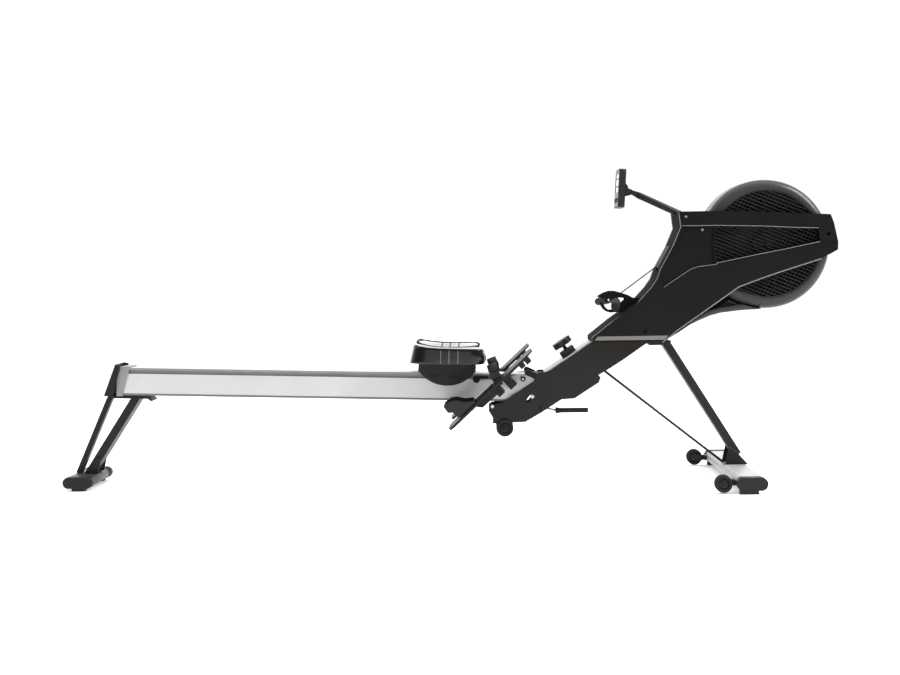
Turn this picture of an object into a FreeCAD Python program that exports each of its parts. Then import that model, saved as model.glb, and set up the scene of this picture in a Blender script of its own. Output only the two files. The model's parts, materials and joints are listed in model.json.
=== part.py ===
import FreeCAD, Part
import math
import os

os.makedirs("parts", exist_ok=True)

V = FreeCAD.Vector

# Rowing machine. Millimetres, +X toward the fan, +Z up, floor at Z = 0, Y = 0 is the middle plane.

# ---- driving dimensions -------------------------------------------------------------------
CENTRE_SHIFT = 5.25                # moves the finished parts so that X = 0 is mid-length
FOLD_X, FOLD_Z = 216.0, 324.0      # bolt that the rail folds about
RAIL_SLOPE = 1.55                  # rail falls toward the fan, degrees
RAIL_TOP = 15.0                    # rail surfaces above and below the fold bolt
RAIL_BOTTOM = -71.0
UNDER_RAIL = -74.0                 # top of the plate under the tail of the rail
RAIL_REAR = -1266.0
RAIL_NOSE = 12.0
RAIL_HALF_W = 33.0
GROOVE_DROP = 12.5                 # side groove centre below the rail top
GROOVE_H = 12.0
GROOVE_DEPTH = 8.0

ARM_SLOPE = 33.4                   # slope of the arm that carries the fan, degrees
ARM_START = (250.0, 317.0)         # where the straight top edge of the arm plates begins
PLATE_IN, PLATE_OUT = 41.0, 45.0   # arm side plates in Y
BEAM_DEPTH = 43.0
BUMPER_X, BUMPER_Z = 241.0, 340.0

FAN_X, FAN_Z = 973.0, 736.0
GUARD_R = 200.0
GUARD_INNER_R = 168.0
GUARD_Y = 65.0
CORE_CUT_R = 206.0                 # round space left for the fan housing
GUARD_IN = 60.0                    # inner face of the wire guards

SHROUD_IN, SHROUD_OUT = 67.0, 80.0

FRONT_FOOT_X0, FRONT_FOOT_X1 = 834.0, 922.0
FRONT_FOOT_Z0, FRONT_FOOT_Z1 = 12.0, 48.0
FRONT_FOOT_HALF = 250.0
REAR_FOOT_X0, REAR_FOOT_X1 = -1199.0, -1111.0
REAR_FOOT_Z0, REAR_FOOT_Z1 = 10.0, 42.0
REAR_FOOT_HALF = 95.0
CAP_LEN = 24.0

HANDLE_X, HANDLE_Z = 502.0, 564.0
ROD_R = 5.5

FAIRLEAD_X, FAIRLEAD_Z = 662.0, 672.0
FAIRLEAD_R = 9.0
DRUM_X, DRUM_Z, DRUM_R = 735.0, 640.0, 32.0
SHAFT_R = 8.0
STRAP_T = 1.6
STRAP_HALF_W = 12.0
CHEEK_HALF = 18.0                  # outer faces of the fairlead's cheeks, and the slot they fill

HEEL_X, HEEL_Z = -13.0, 188.0      # lower tip of the footplates
PLATE_LEN = 344.0
PLATE_TILT = 43.0
PEDAL_IN, PEDAL_OUT = 58.0, 172.0
STRAP_ALONG = 205.0                # foot strap: place along the footplate, and its lean
STRAP_LEAN = 22.0

SEAT_X = -17.0                     # middle of the seat at the front of its travel
MONITOR_X, MONITOR_Z = 566.0, 904.0

BOLT_R = 5.0
FIT = 0.05                         # radial clearance of a pin in its hole
GAP = 0.4                          # clearance between parts that pass each other


# ---- small helpers ------------------------------------------------------------------------
def face_xz(points):
    wire = Part.makePolygon([V(x, 0, z) for x, z in points] + [V(points[0][0], 0, points[0][1])])
    return Part.Face(wire)


def slab(points, y0, y1):
    plate = face_xz(points).extrude(V(0, y1 - y0, 0))
    plate.translate(V(0, y0, 0))
    return plate


def box(x0, x1, y0, y1, z0, z1):
    return Part.makeBox(x1 - x0, y1 - y0, z1 - z0, V(x0, y0, z0))


def rod_y(x, z, r, y0, y1):
    return Part.makeCylinder(r, y1 - y0, V(x, y0, z), V(0, 1, 0))


def rod(a, b, r):
    a, b = V(*a), V(*b)
    return Part.makeCylinder(r, (b - a).Length, a, b - a)


def bar(a, b, depth, y_half, wall=0.0):
    """Straight rectangular bar in the XZ plane from a to b, centred on the line."""
    dx, dz = b[0] - a[0], b[1] - a[1]
    length = math.hypot(dx, dz)
    shape = box(0, length, -y_half, y_half, -depth / 2, depth / 2)
    if wall:
        inside = box(-1, length + 1, wall - y_half, y_half - wall, wall - depth / 2, depth / 2 - wall)
        shape = shape.cut(inside)
    shape.rotate(V(0, 0, 0), V(0, 1, 0), -math.degrees(math.atan2(dz, dx)))
    shape.translate(V(a[0], 0, a[1]))
    return shape


def oval_bar_y(x0, x1, z0, z1, y0, y1):
    """Flat-oval tube stock lying along Y."""
    r = (z1 - z0) / 2
    zc = (z0 + z1) / 2
    body = box(x0 + r, x1 - r, y0, y1, z0, z1)
    ends = [rod_y(x0 + r, zc, r, y0, y1), rod_y(x1 - r, zc, r, y0, y1)]
    return body.fuse(ends).removeSplitter()


def ribbon(points, thickness, y0, y1):
    """Strap of even thickness that follows a line of points in the XZ plane."""
    sides = ([], [])
    for i, (x, z) in enumerate(points):
        ax, az = points[max(i - 1, 0)]
        bx, bz = points[min(i + 1, len(points) - 1)]
        length = math.hypot(bx - ax, bz - az)
        nx, nz = -(bz - az) / length, (bx - ax) / length
        sides[0].append((x + nx * thickness / 2, z + nz * thickness / 2))
        sides[1].append((x - nx * thickness / 2, z - nz * thickness / 2))
    return slab(sides[0] + sides[1][::-1], y0, y1)


def mirror_y(shape):
    return shape.mirror(V(0, 0, 0), V(0, 1, 0))


def both(shape):
    return [shape, mirror_y(shape)]


def joined(shapes):
    first = shapes[0]
    if len(shapes) > 1:
        first = first.fuse(shapes[1:]).removeSplitter()
    return first


def on_rail(shape):
    """Puts a shape drawn level, with the fold bolt at its origin, into place on the sloping rail."""
    placed = shape.copy()
    placed.rotate(V(0, 0, 0), V(0, 1, 0), RAIL_SLOPE)
    placed.translate(V(FOLD_X, 0, FOLD_Z))
    return placed


def on_pedal(shape):
    """Puts a shape drawn along +X from the heel tip, up = +Z, onto the tilted footplate."""
    placed = shape.copy()
    placed.rotate(V(0, 0, 0), V(0, 1, 0), -PLATE_TILT)
    placed.translate(V(HEEL_X, 0, HEEL_Z))
    return placed


def arm_point(along, height):
    """Point at a distance along the top edge of the arm plates, and at a height square to that edge."""
    a = math.radians(ARM_SLOPE)
    x0, z0 = ARM_START
    return x0 + along * math.cos(a) - height * math.sin(a), z0 + along * math.sin(a) + height * math.cos(a)


def on_arm(shape, along, height):
    """Puts a shape drawn upright at the origin onto the arm, square to its top edge."""
    placed = shape.copy()
    placed.rotate(V(0, 0, 0), V(0, 1, 0), -ARM_SLOPE)
    x, z = arm_point(along, height)
    placed.translate(V(x, 0, z))
    return placed


def round_edges(shape, radius, test):
    edges = [edge for edge in shape.Edges if test(edge)]
    return shape.makeFillet(radius, edges)


def along_y(edge):
    a, b = edge.Vertexes[0].Point, edge.Vertexes[-1].Point
    return abs(a.x - b.x) < 0.01 and abs(a.z - b.z) < 0.01 and abs(a.y - b.y) > 1


def save(name, shapes):
    if not isinstance(shapes, list):
        shapes = [shapes]
    solids = []
    for shape in shapes:
        solids.extend(shape.Solids)
    result = solids[0]
    if len(solids) > 1:
        result = Part.makeCompound(solids)
    result.translate(V(CENTRE_SHIFT, 0, 0))
    result.exportStep("parts/" + name + ".step")
    box_now = result.BoundBox
    low = (box_now.XMin, box_now.YMin, box_now.ZMin)
    high = (box_now.XMax, box_now.YMax, box_now.ZMax)
    print(name, len(solids), [round(v) for v in low], [round(v) for v in high])


def wheel(x, z, r, y0, y1, bore, rim=2.0):
    """Solid roller wheel with eased rims and a running bore."""
    tyre = rod_y(x, z, r, y0, y1)
    tyre = tyre.makeFillet(rim, [edge for edge in tyre.Edges if len(edge.Vertexes) == 1])
    return tyre.cut(rod_y(x, z, bore, y0 - 1, y1 + 1))


# ---- rail ---------------------------------------------------------------------------------
def rail_section():
    """Hollow rail section in YZ with a running groove along each side."""
    top, bottom, w = RAIL_TOP, RAIL_BOTTOM, RAIL_HALF_W
    g0 = top - GROOVE_DROP - GROOVE_H / 2
    g1 = top - GROOVE_DROP + GROOVE_H / 2
    d = w - GROOVE_DEPTH
    half = [(w, bottom), (w, g0), (d, g0), (d, g1), (w, g1), (w, top)]
    loop = half + [(-y, z) for y, z in reversed(half)]
    return loop


def make_rail_beam():
    loop = rail_section()
    length = RAIL_NOSE - RAIL_REAR
    wire = Part.makePolygon([V(RAIL_REAR, y, z) for y, z in loop + [loop[0]]])
    beam = Part.Face(wire).extrude(V(length, 0, 0))
    wall = 3.0
    hollow_top = RAIL_TOP - GROOVE_DROP - GROOVE_H / 2 - wall
    beam = beam.cut(box(RAIL_REAR - 1, RAIL_NOSE - 90, wall - RAIL_HALF_W, RAIL_HALF_W - wall,
                        RAIL_BOTTOM + wall, hollow_top))
    beam = beam.cut(rod_y(0, 0, BOLT_R + FIT, -60, 60))
    save("rail_beam", on_rail(beam))


def make_rail_end():
    """Slanted black end cap with a lip above the rail, and the grey collar in front of it."""
    cap = [(-1304, UNDER_RAIL), (-1270, 26), (-1253, 22), (-1256.3, 15), (-1277, UNDER_RAIL)]
    shape = slab(cap, -42, 42)
    shape = round_edges(shape, 3.0, along_y)
    shape = shape.cut(box(RAIL_REAR, RAIL_NOSE, -60, 60, -200, 60))
    save("rail_end_cap", on_rail(shape))
    outline = [(RAIL_REAR, UNDER_RAIL), (-1248, UNDER_RAIL), (-1226, 18), (-1254, 18), (-1255, 15.5),
               (RAIL_REAR, -20)]
    collar = slab(outline, -36, 36)
    loop = rail_section()
    wire = Part.makePolygon([V(RAIL_REAR, y, z) for y, z in loop + [loop[0]]])
    collar = collar.cut(Part.Face(wire).extrude(V(200, 0, 0)))
    collar = collar.cut(box(RAIL_REAR - 40, RAIL_REAR, -60, 60, -200, 60))
    save("rail_collar", on_rail(collar))


def make_rail_stops():
    """Pair of rubber bumpers that end the seat's travel toward the feet."""
    x = -145.0
    z = RAIL_TOP - GROOVE_DROP - 5.5
    bumper = rod_y(x, z, 11.0, RAIL_HALF_W, 46.0)
    arm = box(x, x + 37, RAIL_HALF_W, 37.0, z + 3, z + 9)
    save("rail_stops", [on_rail(shape) for shape in both(joined([bumper, arm]))])


def make_rear_leg():
    """Mounting plate, main leg, thin brace and gusset under the tail of the rail."""
    outline = [(-1297, -82), (-1172, -82), (-1160, -90), (-1156, -86), (-1169, UNDER_RAIL),
               (-1297, UNDER_RAIL)]
    plate = on_rail(slab(outline, -27, 27))
    filler = on_rail(box(-1246, -1175, -24, 24, UNDER_RAIL, RAIL_BOTTOM))
    save("rear_leg_plate", joined([plate, filler]))
    clip = box(-1400, 400, -100, 100, REAR_FOOT_Z1, 1000)
    under = on_rail(box(-1500, 300, -100, 100, -400, -82))
    leg = bar((-990, 285), (-1152, 30), 25.0, 25.0, 2.5).common(clip).common(under)
    brace = bar((-1078, 285), (-1182, 40), 17.0, 10.0)
    save("rear_brace", brace.common(clip).common(under))
    web = slab([(-1140, REAR_FOOT_Z1), (-1114, REAR_FOOT_Z1), (-1104, 92), (-1118, 92)], 25.0, 29.0)
    save("rear_leg", joined([leg] + both(web)))


def make_rear_foot():
    y = REAR_FOOT_HALF
    args = (REAR_FOOT_X0, REAR_FOOT_X1, REAR_FOOT_Z0, REAR_FOOT_Z1)
    save("rear_foot_bar", oval_bar_y(*args, CAP_LEN - y, y - CAP_LEN))
    args = (REAR_FOOT_X0 - 1.5, REAR_FOOT_X1 + 1.5, REAR_FOOT_Z0 - 1.5, REAR_FOOT_Z1 + 1.5)
    cap = oval_bar_y(*args, y - CAP_LEN, y)
    pad = box(REAR_FOOT_X0 + 26, REAR_FOOT_X1 - 22, y - CAP_LEN + 1, y - 2, 0, REAR_FOOT_Z0)
    save("rear_foot_caps", both(joined([cap, pad])))


# ---- seat ---------------------------------------------------------------------------------
SEAT_U = SEAT_X - FOLD_X           # middle of the seat along the rail, from the fold bolt
ROLLER_R = 15.0
ROLLER_STEP = 58.0
GLIDE_STEP = 41.5
AXLE_R = 4.0
CHEEK_IN, CHEEK_OUT = 38.0, 42.0   # side plates of the carriage in Y
DECK = RAIL_TOP + 31               # underside of the carriage deck


def make_seat_carriage():
    """Carriage with two rounded side plates, its rollers on the rail and glides in the grooves."""
    top = RAIL_TOP
    middle = SEAT_U - 4
    low = top - 39.5
    radius = 111.0
    arc = []
    for i in range(17):
        du = -90 + 180 * i / 16
        arc.append((middle + du, low + radius - math.sqrt(radius ** 2 - du ** 2)))
    side = [(middle - 88, DECK)] + arc + [(middle + 88, DECK)]
    plates = both(slab(side, CHEEK_IN, CHEEK_OUT))
    deck = box(middle - 88, middle + 88, -CHEEK_OUT, CHEEK_OUT, DECK, DECK + 5)
    frame = joined(plates + [deck])
    groove_z = top - GROOVE_DROP
    for du in (-GLIDE_STEP, GLIDE_STEP):
        frame = frame.cut(rod_y(middle + du, groove_z, 4.0, -60, 60))
    save("seat_carriage", on_rail(frame))
    hardware = []
    for du in (-GLIDE_STEP, GLIDE_STEP):
        shank = rod_y(middle + du, groove_z, 4.0, 27, CHEEK_OUT)
        head = rod_y(middle + du, groove_z, 6.0, CHEEK_OUT, CHEEK_OUT + 3)
        glide = rod_y(middle + du, groove_z, 5.5, 26.5, CHEEK_IN - 0.5).cut(shank)
        hardware.extend(both(shank.fuse(head)) + both(glide))
    for du in (-ROLLER_STEP, ROLLER_STEP):
        hardware.append(rod_y(SEAT_U + du, top + ROLLER_R + 0.3, AXLE_R, -CHEEK_IN, CHEEK_IN))
    save("seat_bolts", [on_rail(shape) for shape in hardware])
    for name, du in (("seat_rollers_rear", -ROLLER_STEP), ("seat_rollers_front", ROLLER_STEP)):
        pair = []
        for y0 in (-30, 10):
            roller = wheel(SEAT_U + du, top + ROLLER_R + 0.3, ROLLER_R, y0, y0 + 20, AXLE_R + FIT)
            pair.append(on_rail(roller))
        save(name, pair)


def make_seat_pad():
    """Flat base board inside a moulded pad: upright sides, crowned across, two shallow hollows."""
    u = SEAT_U
    z0 = DECK + 5
    board = box(u - 100, u + 98, -128, 128, z0, z0 + 8)
    board = round_edges(board, 40.0, lambda e: abs(e.Vertexes[0].Z - e.Vertexes[-1].Z) > 5)
    save("seat_board", on_rail(board))
    crown = 56.0
    side = [(u - 118, z0), (u - 107, z0 + 58), (u - 96, z0 + 58), (u - 70, z0 + crown),
            (u + 60, z0 + crown - 1), (u + 95, z0 + 51), (u + 108, z0 + 46), (u + 116, z0 + 37),
            (u + 119, z0 + 27), (u + 112, z0)]
    pad = slab(side, -150, 150)
    corner = box(u - 125, u + 122, -150, 150, z0, z0 + 80)
    corner = round_edges(corner, 38.0, lambda e: abs(e.Vertexes[0].Z - e.Vertexes[-1].Z) > 20)
    across = 1400.0
    arch = Part.makeCylinder(across, 300, V(u - 150, 0, z0 + crown + 2 - across), V(1, 0, 0))
    pad = pad.common(corner).common(arch).cut(board)
    ball = 420.0
    for s in (1, -1):
        pad = pad.cut(Part.makeSphere(ball, V(u - 8, s * 62, z0 + crown - 5 + ball)))
    save("seat_pad", on_rail(pad))


# ---- arm, legs and front foot -------------------------------------------------------------
LEVER_X, LEVER_Z = 275.0, 232.0
PIN_X, PIN_Z, PIN_R = 244.0, 270.0, 4.5
MID_WHEEL_X, MID_WHEEL_Z, MID_WHEEL_R = 158.0, 173.0, 27.0


def turned(x, z, angle):
    """Point of the lever after it turns about its pivot, degrees by the right-hand rule about +Y."""
    a = math.radians(angle)
    dx, dz = x - LEVER_X, z - LEVER_Z
    return LEVER_X + dx * math.cos(a) + dz * math.sin(a), LEVER_Z - dx * math.sin(a) + dz * math.cos(a)


def make_arm_plates():
    """Side plates of the arm with the wheel arch and the curved slot of the locking pin."""
    outline = [(150, 251), ARM_START, (256, 338), (268, 345), (286, 345), (300, 349.5), (434, 438),
               (604, 438), (604, 433), (527, 380), (487, 355), (451, 334), (458, 327), (452, 311),
               (375, 262), (336, 260), (268, 217), (222, 191), (121, 187), (121, 205), (108, 227),
               (109, 239), (133, 248)]
    plate = slab(outline, PLATE_IN, PLATE_OUT)
    plate = plate.cut(rod_y(MID_WHEEL_X, MID_WHEEL_Z, MID_WHEEL_R + 3, 0, 100))
    slot = [rod_y(*turned(PIN_X, PIN_Z, -a), PIN_R + 2.0, 0, 100) for a in range(0, 23, 2)]
    slot.append(rod_y(PIN_X, PIN_Z, PIN_R + 3.5, 0, 100))
    plate = plate.cut(slot)
    plate = plate.cut(rod_y(LEVER_X, LEVER_Z, 4.0 + FIT, 0, 100))
    save("arm_plate_left", plate)
    save("arm_plate_right", mirror_y(plate))


def make_arm_inside():
    """Silver box beam with its fold cheeks, the fold bolt, and the cross plate with the wheel lugs."""
    middle = 4 - BEAM_DEPTH / 2
    beam = bar(arm_point(42, middle), arm_point(440, middle), BEAM_DEPTH, PLATE_IN)
    beam = beam.common(box(200, 900, -60, 60, 200, 438))
    cheek = slab([(160, 296), (168, 326), (205, 341), (240, 341), (285, 338), (300, 345), (300, 300),
                  (232, 284), (200, 284)], 36, PLATE_IN)
    cheek = cheek.cut(rod_y(FOLD_X, FOLD_Z, BOLT_R, 0, 60))
    boss = rod_y(BUMPER_X - 6, BUMPER_Z - 6, 6.0, PLATE_IN, PLATE_OUT)
    save("arm_beam", joined([beam] + both(cheek) + both(boss)))
    bent = [(112, 236), (150, 214), (204, 214), (204, 220), (152, 220), (118, 240)]
    cross = slab(bent, -PLATE_IN, PLATE_IN)
    lug = slab([(146, 214), (150, 164), (166, 164), (170, 214)], 18, 23)
    cross = joined([cross] + both(lug))
    save("arm_cross_plate", cross.cut(rod_y(MID_WHEEL_X, MID_WHEEL_Z, AXLE_R, -30, 30)))
    w = wheel(MID_WHEEL_X, MID_WHEEL_Z, MID_WHEEL_R, 28, 49, AXLE_R + FIT)
    save("mid_wheels", both(w))
    bolt = rod_y(FOLD_X, FOLD_Z, BOLT_R, -PLATE_OUT, PLATE_OUT)
    heads = both(rod_y(FOLD_X, FOLD_Z, 8.0, PLATE_IN, PLATE_OUT + 1))
    axle = rod_y(MID_WHEEL_X, MID_WHEEL_Z, AXLE_R, -50, 50)
    pivot = rod_y(LEVER_X, LEVER_Z, 4.0, -48, 48)
    corner_bolts = both(rod_y(120, 240, 5.0, PLATE_OUT, PLATE_OUT + 3))
    save("arm_bolts", [joined([bolt] + heads), axle, pivot] + corner_bolts)


def make_bumper():
    """Rounded rubber blocks outside the fold cheeks, one on each side."""
    block = box(-20, 20, PLATE_OUT, PLATE_OUT + 12, -9, 9)
    block = round_edges(block, 8.0, along_y)
    block.rotate(V(0, 0, 0), V(0, 1, 0), 25)
    block.translate(V(BUMPER_X, 0, BUMPER_Z))
    save("rubber_bumper", both(block))


def make_release_lever():
    """Pull lever with the cross pin that stands behind the nose of the rail."""
    hub = rod_y(LEVER_X, LEVER_Z, 9.0, -30, 30)
    arm = bar((LEVER_X, LEVER_Z), (PIN_X, PIN_Z), 11.0, 3.0)
    cheeks = []
    for y in (-37, 37):
        cheek = arm.copy()
        cheek.translate(V(0, y, 0))
        cheeks.append(cheek)
    eyes = both(rod_y(LEVER_X, LEVER_Z, 9.0, 29, 40))
    stem = rod((LEVER_X + 7, 0, LEVER_Z - 4), (319, 0, 220), 4.0)
    frame = joined([hub] + cheeks + eyes + [stem])
    frame = frame.cut(rod_y(LEVER_X, LEVER_Z, 4.0 + FIT, -60, 60))
    save("release_lever", joined([frame, rod_y(PIN_X, PIN_Z, PIN_R, -48, 48)]))
    collar = Part.makeCone(10.5, 7.5, 16, V(319, 0, 220), V(1, 0, 0))
    grip = Part.makeCylinder(7.5, 86, V(335, 0, 220), V(1, 0, 0))
    save("release_grip", joined([collar, grip]).cut(stem))


def make_knob():
    """Star knob with lobes on a round base, square to the arm."""
    along = 139.0
    base = Part.makeCylinder(25, 20)
    save("knob_base", on_arm(base.makeFillet(2.0, [base.Edges[0]]), along, 4.0))
    stem = Part.makeCylinder(6.0, 12.6, V(0, 0, 20.4))
    star = Part.makeCylinder(25, 18, V(0, 0, 33))
    lobes = []
    for i in range(7):
        a = 2 * math.pi * i / 7
        lobes.append(Part.makeCylinder(8.0, 18, V(24 * math.cos(a), 24 * math.sin(a), 33)))
    save("star_knob", on_arm(star.fuse(lobes + [stem]).removeSplitter(), along, 4.0))


def make_front_leg():
    leg = bar((652, 452), (886, 78), 25.0, 25.0, 2.5)
    leg = leg.common(box(500, 1000, -60, 60, FRONT_FOOT_Z1, 438))
    head = slab([(604, 438), (604, 433), (610, 425), (672, 425), (680, 438)], -PLATE_OUT, PLATE_OUT)
    head = head.cut(bar((652, 452), (886, 78), 25.0, 25.0))
    head = head.cut(box(500, 604, -60, 60, 0, 500))
    web = slab([(846, FRONT_FOOT_Z1), (918, FRONT_FOOT_Z1), (880, 90), (858, 104)], 25, 29)
    save("front_leg", joined([leg, head] + both(web)))
    brace = rod((474, 0, 343), (845, 0, 51), 4.0)
    save("brace_rod", brace.common(box(400, 900, -20, 20, FRONT_FOOT_Z1, 344)))


WHEEL_X, WHEEL_Z, WHEEL_R = 796.0, 29.0, 26.0


def make_front_foot():
    y = FRONT_FOOT_HALF
    args = (FRONT_FOOT_X0, FRONT_FOOT_X1, FRONT_FOOT_Z0, FRONT_FOOT_Z1)
    save("front_foot_bar", oval_bar_y(*args, CAP_LEN - y, y - CAP_LEN))
    args = (FRONT_FOOT_X0 - 1.5, FRONT_FOOT_X1 + 1.5, FRONT_FOOT_Z0 - 1.5, FRONT_FOOT_Z1 + 1.5)
    cap = oval_bar_y(*args, y - CAP_LEN, y)
    pad = box(FRONT_FOOT_X0 + 8, FRONT_FOOT_X1 - 26, y - CAP_LEN + 1, y - 2, 0, FRONT_FOOT_Z0)
    save("front_foot_caps", both(joined([cap, pad])))
    root = FRONT_FOOT_X0 + 3
    fork = slab([(WHEEL_X - 9, WHEEL_Z - 8), (WHEEL_X + 4, WHEEL_Z - 11), (root, WHEEL_Z - 7),
                 (root, WHEEL_Z + 9), (WHEEL_X + 4, WHEEL_Z + 9), (WHEEL_X - 9, WHEEL_Z + 6)], y - 38, y - 34)
    bridge = box(FRONT_FOOT_X0 - 8, FRONT_FOOT_X0 + 3, y - 52, y - 26, WHEEL_Z - 7, WHEEL_Z + 9)
    fork = joined([fork, bridge]).cut(oval_bar_y(*args, 0, y))
    fork = fork.cut(oval_bar_y(FRONT_FOOT_X0, FRONT_FOOT_X1, FRONT_FOOT_Z0, FRONT_FOOT_Z1, 0, y))
    fork = fork.cut(rod_y(WHEEL_X, WHEEL_Z, AXLE_R, 0, y))
    axle = rod_y(WHEEL_X, WHEEL_Z, AXLE_R, y - 38, y - 10)
    save("wheel_forks", both(joined([fork, axle])))
    w = wheel(WHEEL_X, WHEEL_Z, WHEEL_R, y - 33, y - 11, AXLE_R + FIT)
    save("front_wheel_left", w)
    save("front_wheel_right", mirror_y(w))


# ---- footplates ---------------------------------------------------------------------------
def make_footplates():
    """Footplate with a thin toe edge, strap slots, ribs and the strap clamp under it."""
    base = box(0, PLATE_LEN, PEDAL_IN, PEDAL_OUT, -8, 0)
    base = round_edges(base, 26.0, lambda e: abs(e.Vertexes[0].Z - e.Vertexes[-1].Z) > 5)
    base = base.cut(box(322, PLATE_LEN + 1, PEDAL_IN - 1, PEDAL_OUT + 1, -9, -5))
    toe_ribs = [box(60, 184, y, y + 5, 0, 2.5) for y in (PEDAL_IN + 22, PEDAL_OUT - 27)]
    rib = [(104, -8), (118, -25), (184, -27), (184, -8)]
    ribs = [slab(rib, y, y + 4) for y in (PEDAL_IN + 22, PEDAL_OUT - 26)]
    clamp = box(176, 199, PEDAL_IN + 26, PEDAL_OUT - 26, -38, -12)
    blocks = []
    for x0, x1, depth in ((283, 299, 22), (305, 322, 24)):
        blocks.append(box(x0, x1, PEDAL_IN + 12, PEDAL_OUT - 12, -depth, -8))
    pedal = joined([base, clamp] + ribs + toe_ribs + blocks)
    for y0 in (PEDAL_IN + 3, PEDAL_OUT - 9):
        pedal = pedal.cut(box(STRAP_ALONG - 19, STRAP_ALONG + 19, y0, y0 + 6, -10, 10))
    save("footplate_left", on_pedal(pedal))
    save("footplate_right", on_pedal(mirror_y(pedal)))


def make_pedal_bracket():
    """Steel block and shelf under one footplate, with the stub that joins it to the fold cheek."""
    stub_x, stub_z = 179.0, 317.0
    stub = rod_y(stub_x, stub_z, 9.0, PLATE_IN, PEDAL_IN + 5)
    block = on_pedal(box(214, 240, PEDAL_IN + 4, PEDAL_IN + 42, -50, -14))
    shelf = on_pedal(box(227, 247, PEDAL_IN + 4, PEDAL_OUT - 22, -14, -8))
    save("pedal_brackets", both(joined([stub, block, shelf])))


def make_heel_cups():
    """Heel cup that slides along the footplate to suit the shoe."""
    low, high = PEDAL_IN + 4, PEDAL_OUT - 4
    floor = GAP + 2.5
    sole = box(46, 112, low, high, floor, 6.5)
    back = [(46, floor), (44, 28), (33, 37), (36, 60), (43, 60), (41, 41), (51, 31), (53, floor)]
    wall = [(46, floor), (44, 28), (33, 37), (36, 60), (61, 58), (76, 48), (91, 26), (112, 10), (112, floor)]
    cup = joined([sole, slab(back, low, high), slab(wall, low, low + 4), slab(wall, high - 4, high)])
    save("heel_cup_left", on_pedal(cup))
    save("heel_cup_right", on_pedal(mirror_y(cup)))


def make_foot_straps():
    """Loop of webbing over the instep and under the footplate, leaning toward the toe, with a buckle."""
    y0, y1 = PEDAL_IN + 6.0, PEDAL_OUT - 6.0
    mid, half = (y0 + y1) / 2, (y1 - y0) / 2
    count = 16
    outer = []
    inner = []
    for i in range(count + 1):
        a = math.pi * i / count
        outer.append((mid - (half + 1) * math.cos(a), 14 + 38 * math.sin(a) ** 0.8))
        inner.append((mid - (half - 1) * math.cos(a), 14 + 36 * math.sin(a) ** 0.8))
    loop = [(y0 - 1, -10.5)] + outer + [(y1 + 1, -10.5), (y1 - 1, -10.5)] + inner[::-1] + [(y0 + 1, -10.5)]
    wire = Part.makePolygon([V(-13, y, z) for y, z in loop + [loop[0]]])
    strap = Part.Face(wire).extrude(V(26, 0, 0))
    buckle = box(-16, 16, y1, PEDAL_OUT + 1, 16, 34)
    over = joined([strap, buckle])
    over.rotate(V(0, 0, 0), V(0, 1, 0), STRAP_LEAN)
    over.translate(V(STRAP_ALONG, 0, 0))
    over = over.common(box(100, 300, 0, 300, -11, 100))
    under = box(STRAP_ALONG - 17, STRAP_ALONG + 9, y0 - 1, y1 + 1, -11, -9)
    band = joined([over, under])
    save("foot_straps", [on_pedal(band), on_pedal(mirror_y(band))])


# ---- housing ------------------------------------------------------------------------------
NECK = [(429, 438), (429, 452), (494, 503), (567, 554), (613, 604), (632, 631), (643, 662), (682, 732),
        (707, 791), (701, 838)]
LOWER_EDGE = [(1137, 690), (1008, 650), (948, 630), (880, 605), (762, 523), (692, 475), (668, 455),
              (650, 442), (645, 438)]


def on_neck(x):
    """Point of the neck outline above the given x, on its rising lower part."""
    for (x0, z0), (x1, z1) in zip(NECK[1:], NECK[2:]):
        if x0 <= x <= x1:
            return x, z0 + (z1 - z0) * (x - x0) / (x1 - x0)


def make_shrouds():
    """Side cover: lower panel, neck, upper and lower bars around the fan, and the end plate."""
    bar_top = [(842, 839), (1022, 832), (1168, 825), (1178, 798), (1190, 740), (1189, 716), (1168, 704)]
    outline = NECK + bar_top + LOWER_EDGE
    panel = slab(outline, SHROUD_IN, SHROUD_OUT)
    window = [(816, 794), (950, 791), (1060, 785), (1130, 783), (1134, 741), (1021, 718), (949, 705),
              (818, 679), (809, 709), (808, 750)]
    recess = [(652, 606), (700, 638), (736, 661), (758, 668), (812, 674), (806, 709), (804, 750),
              (812, 789), (716, 793), (690, 733), (651, 662), (640, 631)]
    holes = [rod_y(x, z, 6.0, SHROUD_OUT - 8, SHROUD_OUT + 2) for x, z in ((1160, 765), (592, 472))]
    panel = panel.cut(slab(window, SHROUD_IN - 5, SHROUD_OUT + 5))
    panel = panel.cut([slab(recess, SHROUD_OUT - 5, SHROUD_OUT + 5)] + holes)
    save("shroud_left", panel)
    save("shroud_right", mirror_y(panel))
    screws = []
    for x, z, seat in ((722, 822, SHROUD_OUT), (773, 781, SHROUD_OUT - 5)):
        screws.extend(both(rod_y(x, z, 4.0, seat, seat + 1.5)))
    fan_shaft = rod_y(FAN_X, FAN_Z, SHAFT_R, -GUARD_IN, GUARD_IN)
    drum_shaft = rod_y(DRUM_X, DRUM_Z, SHAFT_R, -SHROUD_IN, SHROUD_IN)
    save("housing_bolts", screws + [fan_shaft, drum_shaft])


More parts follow.
